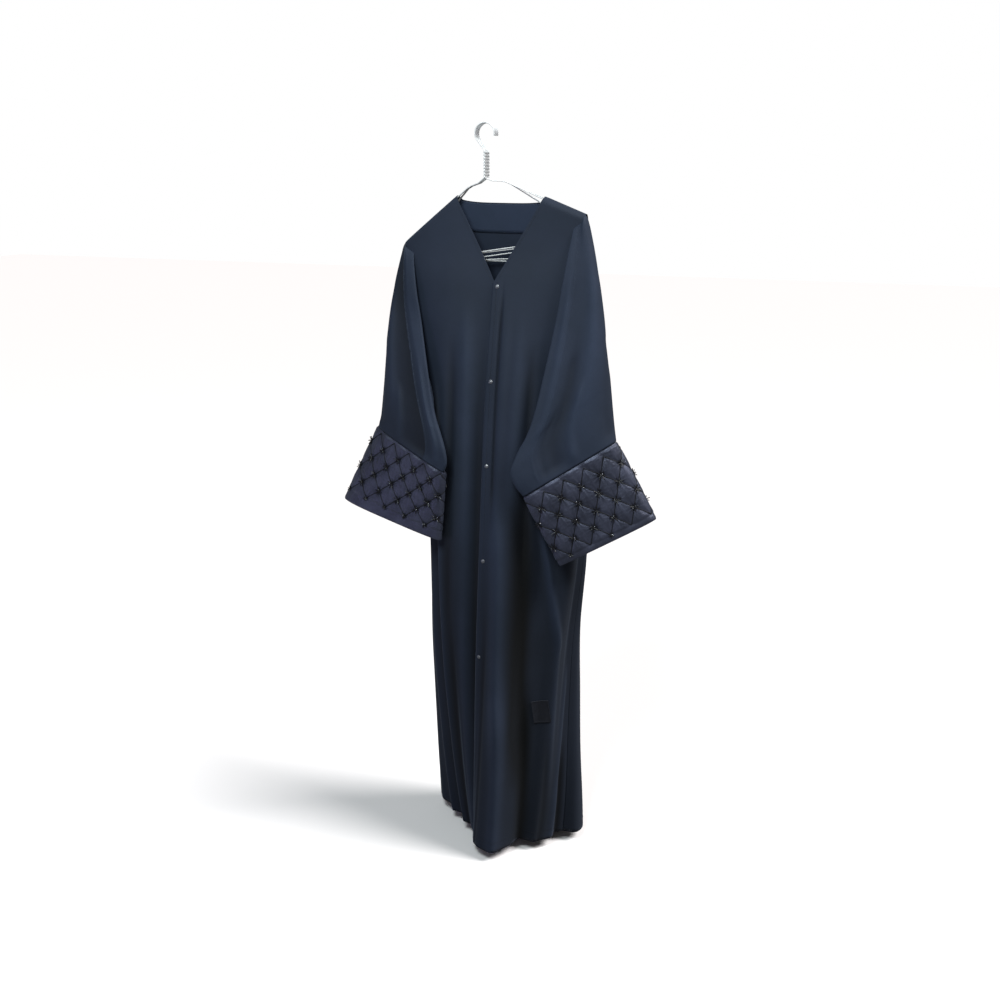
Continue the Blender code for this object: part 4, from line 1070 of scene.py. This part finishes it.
def sew_bead(bm, middle, along, length, radius, sides):
    """One tube bead lying along the cloth."""
    turn = Vector(along).normalized().to_track_quat("Z", "Y").to_matrix().to_4x4()
    bmesh.ops.create_cone(bm, cap_ends=True, segments=sides, radius1=radius, radius2=radius,
                          depth=length, matrix=Matrix.Translation(middle) @ turn)


def round_bead(bm, middle, radius):
    """One round bead."""
    bmesh.ops.create_icosphere(bm, subdivisions=2, radius=radius, matrix=Matrix.Translation(middle))


def bead_star(black, silver, side, column, row, dice, size):
    """Star of beads where two cords cross."""
    around, down = off_lattice(side, column, row)
    beside = np.array([around, around + 0.004])
    places, normals, _ = cuff_reads[side](beside, np.array([down, down]), STAR_LIFT)
    middle, normal = places[0], normals[0]
    across = places[1] - places[0]
    across -= normal * across.dot(normal)
    across /= np.linalg.norm(across)
    upward = np.cross(normal, across)

    def way(turn):
        return across * math.cos(turn) + upward * math.sin(turn)

    first = dice.uniform(0, 2 * math.pi)
    for k in range(BUGLES_IN_STAR):
        turn = first + 2 * math.pi * k / BUGLES_IN_STAR + dice.uniform(-0.20, 0.20)
        outward = way(turn) + normal * dice.uniform(0.16, 0.36)
        outward /= np.linalg.norm(outward)
        length = BUGLE_LENGTH * size * dice.uniform(0.80, 1.10)
        centre = middle + outward * (BUGLE_START + length / 2) + normal * BUGLE_LIFT
        sew_bead(black, centre, outward, length, BUGLE_RADIUS, BUGLE_SIDES)
    for _ in range(dice.integers(1, 4)):
        beside = way(dice.uniform(0, 2 * math.pi)) * dice.uniform(0.0022, 0.0070) * size
        radius = SILVER_RADIUS * dice.uniform(0.8, 1.2)
        round_bead(silver, middle + beside + normal * SILVER_LIFT, radius)
    round_bead(black, middle + normal * SEED_LIFT, SEED_RADIUS)


for side in SIGN:
    dice = np.random.default_rng(DICE_SEED[side])
    black, silver = bmesh.new(), bmesh.new()
    for row in range(2, CUFF_LATTICE_ROWS + 1, 2):
        for diamond in range(CUFF_DIAMONDS):
            at_end = row == CUFF_LATTICE_ROWS
            if at_end and dice.random() < LEFT_OUT:
                continue
            size = LAST_STAR_SIZE if at_end else 1.0
            bead_star(black, silver, side, 4 * diamond + row % 4, row, dice, size)
    bugles = mesh_piece(f"cuff_{side}_bugles", black, black_glass, 50)
    seeds = mesh_piece(f"cuff_{side}_silver_beads", silver, silver_lined, 50)
    for beads in (bugles, seeds):
        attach(beads, "root")

# --- Topstitching ------------------------------------------------------------------------------
# Short black stitches along the turned edges: both sides of the V neck, the lapping front edge and
# the hem.
STITCH_LENGTH = 0.0027
STITCH_SPACING = 0.0040
STITCH_RADIUS = 0.00028
STITCH_SIDES = 6
NECK_STITCH_DROP = 0.0100
HEM_STITCH_LIFT = 0.022
FRONT_FALL = 1.35
BACK_FALL = 1.45
EDGE_STITCH_SHARE = 0.029  # share of the right front's columns from its free edge

thread = woven_cloth("sewing_thread", (0.0035, 0.0045, 0.0070), (0.0070, 0.0085, 0.0120),
                     4200.0, 0.3, 0.5, 0.3, 0.05)


def sew_line(bm, surface, line, outward):
    """Row of stitches along a line, each laid on the outer face of the cloth."""
    run = line_run(line)
    for middle in np.arange(STITCH_SPACING, run[-1] - STITCH_SPACING, STITCH_SPACING):
        start, end = (Vector(read_line(line, run, middle + half))
                      for half in (-STITCH_LENGTH / 2, STITCH_LENGTH / 2))
        place, normal, _, _ = surface.ray_cast((start + end) / 2 + outward * 0.02, -outward, 0.05)
        if place is not None:
            middle_of_bead = place + normal * STITCH_RADIUS * 0.6
            sew_bead(bm, middle_of_bead, end - start, STITCH_LENGTH, STITCH_RADIUS, STITCH_SIDES)


forward, backward = Vector((0, -1, 0)), Vector((0, 1, 0))
depsgraph = bpy.context.evaluated_depsgraph_get()
front_surfaces = {side: BVHTree.FromObject(fronts[side], depsgraph) for side in SIGN}
for side in SIGN:
    place = place_front(side)
    neck_run = place(np.linspace(0.035, NECK_SHARE * 0.96, 60), np.zeros(60))[0]
    neck_run[:, 2] -= NECK_STITCH_DROP
    runs = [neck_run]
    if side == "right":
        runs.append(place(np.full(220, EDGE_STITCH_SHARE), np.linspace(0.012, 0.985, 220))[0])
    hem_share = np.full(160, 1 - HEM_STITCH_LIFT / FRONT_FALL)
    runs.append(place(np.linspace(0.01, 0.99, 160), hem_share)[0])
    stitches = bmesh.new()
    for run in runs:
        sew_line(stitches, front_surfaces[side], run, forward)
    sewn = mesh_piece(f"front_{side}_topstitch", stitches, thread)
    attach(sewn, "root")
hem_run = place_back(np.linspace(0.02, 0.98, 200), np.full(200, 1 - HEM_STITCH_LIFT / BACK_FALL))[0]
stitches = bmesh.new()
sew_line(stitches, BVHTree.FromObject(back, depsgraph), hem_run, backward)
sewn = mesh_piece("back_topstitch", stitches, thread)
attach(sewn, "root")

# --- Snaps -------------------------------------------------------------------------------------
# Small domed caps of dark pearly plastic on a thin rim, sewn down the closing; the halves under
# them are snapped shut.
SNAP_COUNT = 5
SNAP_RADIUS = 0.00425
SNAP_DOME = 0.0023
SNAP_RIM = 0.0007
SNAP_STEPS = 28
SNAP_SEAT = 0.0002
SNAP_RING = [2 * math.pi * step / SNAP_STEPS for step in range(SNAP_STEPS)]
SNAP_PROFILE = [
    # share of the radius, height
    (0.0, SNAP_DOME), (0.30, SNAP_DOME * 0.93), (0.58, SNAP_DOME * 0.74),
    (0.76, SNAP_DOME * 0.50), (0.80, SNAP_RIM * 1.15), (0.95, SNAP_RIM), (1.0, SNAP_RIM * 0.6),
    (1.0, 0.0), (0.0, 0.0),
]

pearl = bright_finish(
    "snap_pearl", {"Scale": 420.0, "Detail": 3.0, "Distortion": 1.5}, (0.035, 0.036, 0.044),
    (0.080, 0.083, 0.095), (0.22, 0.42), {"Coat Weight": 0.5, "Coat Roughness": 0.12})

for number in range(1, SNAP_COUNT + 1):
    low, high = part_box(f"snap_{number}")
    seat, normal, _, _ = front_surfaces["right"].find_nearest((low + high) / 2 + forward * 0.003)
    bm = bmesh.new()
    top, *rings, foot = [
        [bm.verts.new((reach * SNAP_RADIUS * math.cos(turn), reach * SNAP_RADIUS * math.sin(turn), z))
         for turn in (SNAP_RING if reach else SNAP_RING[:1])] for reach, z in SNAP_PROFILE]
    for k in range(SNAP_STEPS):
        bm.faces.new((top[0], rings[0][k - 1], rings[0][k]))
        bm.faces.new((foot[0], rings[-1][k], rings[-1][k - 1]))
        for ring, lower in zip(rings, rings[1:]):
            bm.faces.new((ring[k - 1], lower[k - 1], lower[k], ring[k]))
    bmesh.ops.recalc_face_normals(bm, faces=bm.faces)
    turn = normal.to_track_quat("Z", "Y").to_matrix().to_4x4()
    bm.transform(Matrix.Translation(seat + normal * SNAP_SEAT) @ turn)
    cap = mesh_piece(f"snap_{number}_cap", bm, pearl, 48)
    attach(cap, "root")
    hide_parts(f"snap_{number}")

# --- Patch on the right front ------------------------------------------------------------------
# A small bare woven patch with a folded edge, sewn all round above the hem.
PATCH_SIZE = (0.038, 0.052)
PATCH_GRID = (38, 52)
PATCH_CLOTH = 0.0009
PATCH_CENTRE = (0.078, -1.236)
PATCH_TURN = math.radians(8.0)
PATCH_FACING = math.radians(25.0)
PATCH_LIFT = 0.0012
PATCH_FOLD = (0.0035, 0.0005)  # width and height of its folded edge

patch_cloth = woven_cloth("patch_cloth", (0.0040, 0.0044, 0.0070), (0.0068, 0.0075, 0.0110),
                          2000.0, 0.1, 0.55, 0.5, 0.06, 60.0)


def place_patch(across, down):
    """Points of the patch on the front's outer face, its folded edge a little thicker."""
    into_panel = Vector((-math.sin(PATCH_FACING), math.cos(PATCH_FACING), 0.0))
    along_panel = Vector((math.cos(PATCH_FACING), math.sin(PATCH_FACING), 0.0))
    made = []
    for a, d in zip(across - 0.5, 0.5 - down):
        u, v = a * PATCH_SIZE[0], d * PATCH_SIZE[1]
        reach = PATCH_CENTRE[0] + u * math.cos(PATCH_TURN) - v * math.sin(PATCH_TURN)
        z = PATCH_CENTRE[1] + u * math.sin(PATCH_TURN) + v * math.cos(PATCH_TURN)
        start = Vector((CENTRE_X, 0.0, z)) + along_panel * reach - into_panel
        place, normal, _, _ = front_surfaces["right"].ray_cast(start, into_panel)
        from_edge = min((0.5 - abs(a)) * PATCH_SIZE[0], (0.5 - abs(d)) * PATCH_SIZE[1])
        rim = float(ease((1 - from_edge / PATCH_FOLD[0]) * 1.6))
        made.append(place + normal * (PATCH_LIFT + PATCH_FOLD[1] * rim))
    return np.array(made), np.zeros(len(made))


patch = lay_cloth("patch_panel", PATCH_GRID, place_patch, PATCH_CLOTH, patch_cloth)
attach(patch, "root")
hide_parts("label")

# --- Wire hangers ------------------------------------------------------------------------------
# Five thin wire hangers bunched on one rail.  Each is a single white enamelled wire: its hook, a
# neck where the two ends are twisted together, two arms, and the lower bar.
WIRE_RADIUS = 0.00115
HANGER_PITCH = 0.0052
ARM_PITCH = 2 * WIRE_RADIUS + 0.0003
HOOK_RADIUS = 0.0200
HOOK_TIP = math.radians(-14)
HOOK_TAIL = [(-0.97, 0.32), (-0.80, 0.62), (-0.50, 0.98)]  # shares of the hook's ring, x and down
NECK_TOP = -0.052
NECK_END = -0.108
NECK_TURNS = 4.5
STRAND_RADIUS = WIRE_RADIUS + 0.00016
CORNER_RADIUS = 0.0165
HANGERS = [
    # place in the bunch, arm slope, half span, bar drop, bar lean
    (-2, 31.2, 0.1930, 0.1420, 0.0),
    (-1, 31.6, 0.1925, 0.1450, 1.0),
    (0, 30.0, 0.1950, 0.1530, 0.0),
    (1, 37.0, 0.1800, 0.1620, 5.5),
    (2, 38.5, 0.1720, 0.1660, 9.0),
]

enamel = bright_finish(
    "white_enamel", {"Scale": 160.0, "Detail": 5.0, "Roughness": 0.7}, (0.30, 0.30, 0.31),
    (0.43, 0.43, 0.43), (0.38, 0.60), {"Coat Weight": 0.10, "Coat Roughness": 0.2}, (0.30, 0.42))


def hanger_route(place, slope, half_span, bar_drop, lean):
    """Points along one hanger's wire, from the hook's tip round to the neck's other strand."""
    y_neck, y_arm = place * HANGER_PITCH, place * ARM_PITCH
    slope, lean = math.radians(slope), math.radians(lean)

    def own(x, z, y):
        return (x * math.cos(HANGER_TILT) - z * math.sin(HANGER_TILT), y,
                NECK_FOOT + x * math.sin(HANGER_TILT) + z * math.cos(HANGER_TILT))

    def drop(x):
        if x < ARM_SHOULDER:
            return -ARM_FIRST_DROP * x / ARM_SHOULDER
        return -ARM_FIRST_DROP - (x - ARM_SHOULDER) * math.tan(slope)

    def arm(side):
        return [own(side * x, drop(x) - WIRE_RADIUS,
                    y_neck + (y_arm - y_neck) * min(x / ARM_SHOULDER, 1))
                for x in (0.016, 0.034, ARM_SHOULDER + 0.004, 0.070, 0.120, half_span - 0.028)]

    def corner(side):
        reach = side * (half_span - CORNER_RADIUS)
        middle = CORNER_RADIUS - bar_drop - reach * math.tan(lean)
        return [own(reach + side * CORNER_RADIUS * math.cos(turn),
                    middle + CORNER_RADIUS * math.sin(turn), y_arm)
                for turn in np.linspace(math.pi / 2 - slope, -math.pi / 2, 14)]

    def strand(phase):
        places = []
        for t in np.linspace(0.0, 1.0, 70):
            turn = 2 * math.pi * NECK_TURNS * t + phase
            places.append((STRAND_RADIUS * math.cos(turn), y_neck + STRAND_RADIUS * math.sin(turn),
                           NECK_TOP + (NECK_END - NECK_TOP) * t))
        return places

    ring = HOOK_RADIUS + WIRE_RADIUS
    route = [(ring * math.cos(turn), y_neck, ring * math.sin(turn) - HOOK_RADIUS)
             for turn in np.linspace(HOOK_TIP, math.pi, 30)]
    route += [(ring * x, y_neck, -HOOK_RADIUS - ring * down) for x, down in HOOK_TAIL]
    route += strand(math.pi) + arm(1) + corner(1)
    route += [own(x, -bar_drop - x * math.tan(lean), y_arm)
              for x in (0.12, 0.06, 0.0, -0.06, -0.12)]
    return route + corner(-1)[::-1] + arm(-1)[::-1] + strand(0.0)[:4:-1]


for number, row in enumerate(HANGERS, start=1):
    hanger = round_lines(f"hanger_{number}_wire", [hanger_route(*row)], WIRE_RADIUS, 3, enamel)
    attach(hanger, "root")
    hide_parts(f"hanger_{number}")
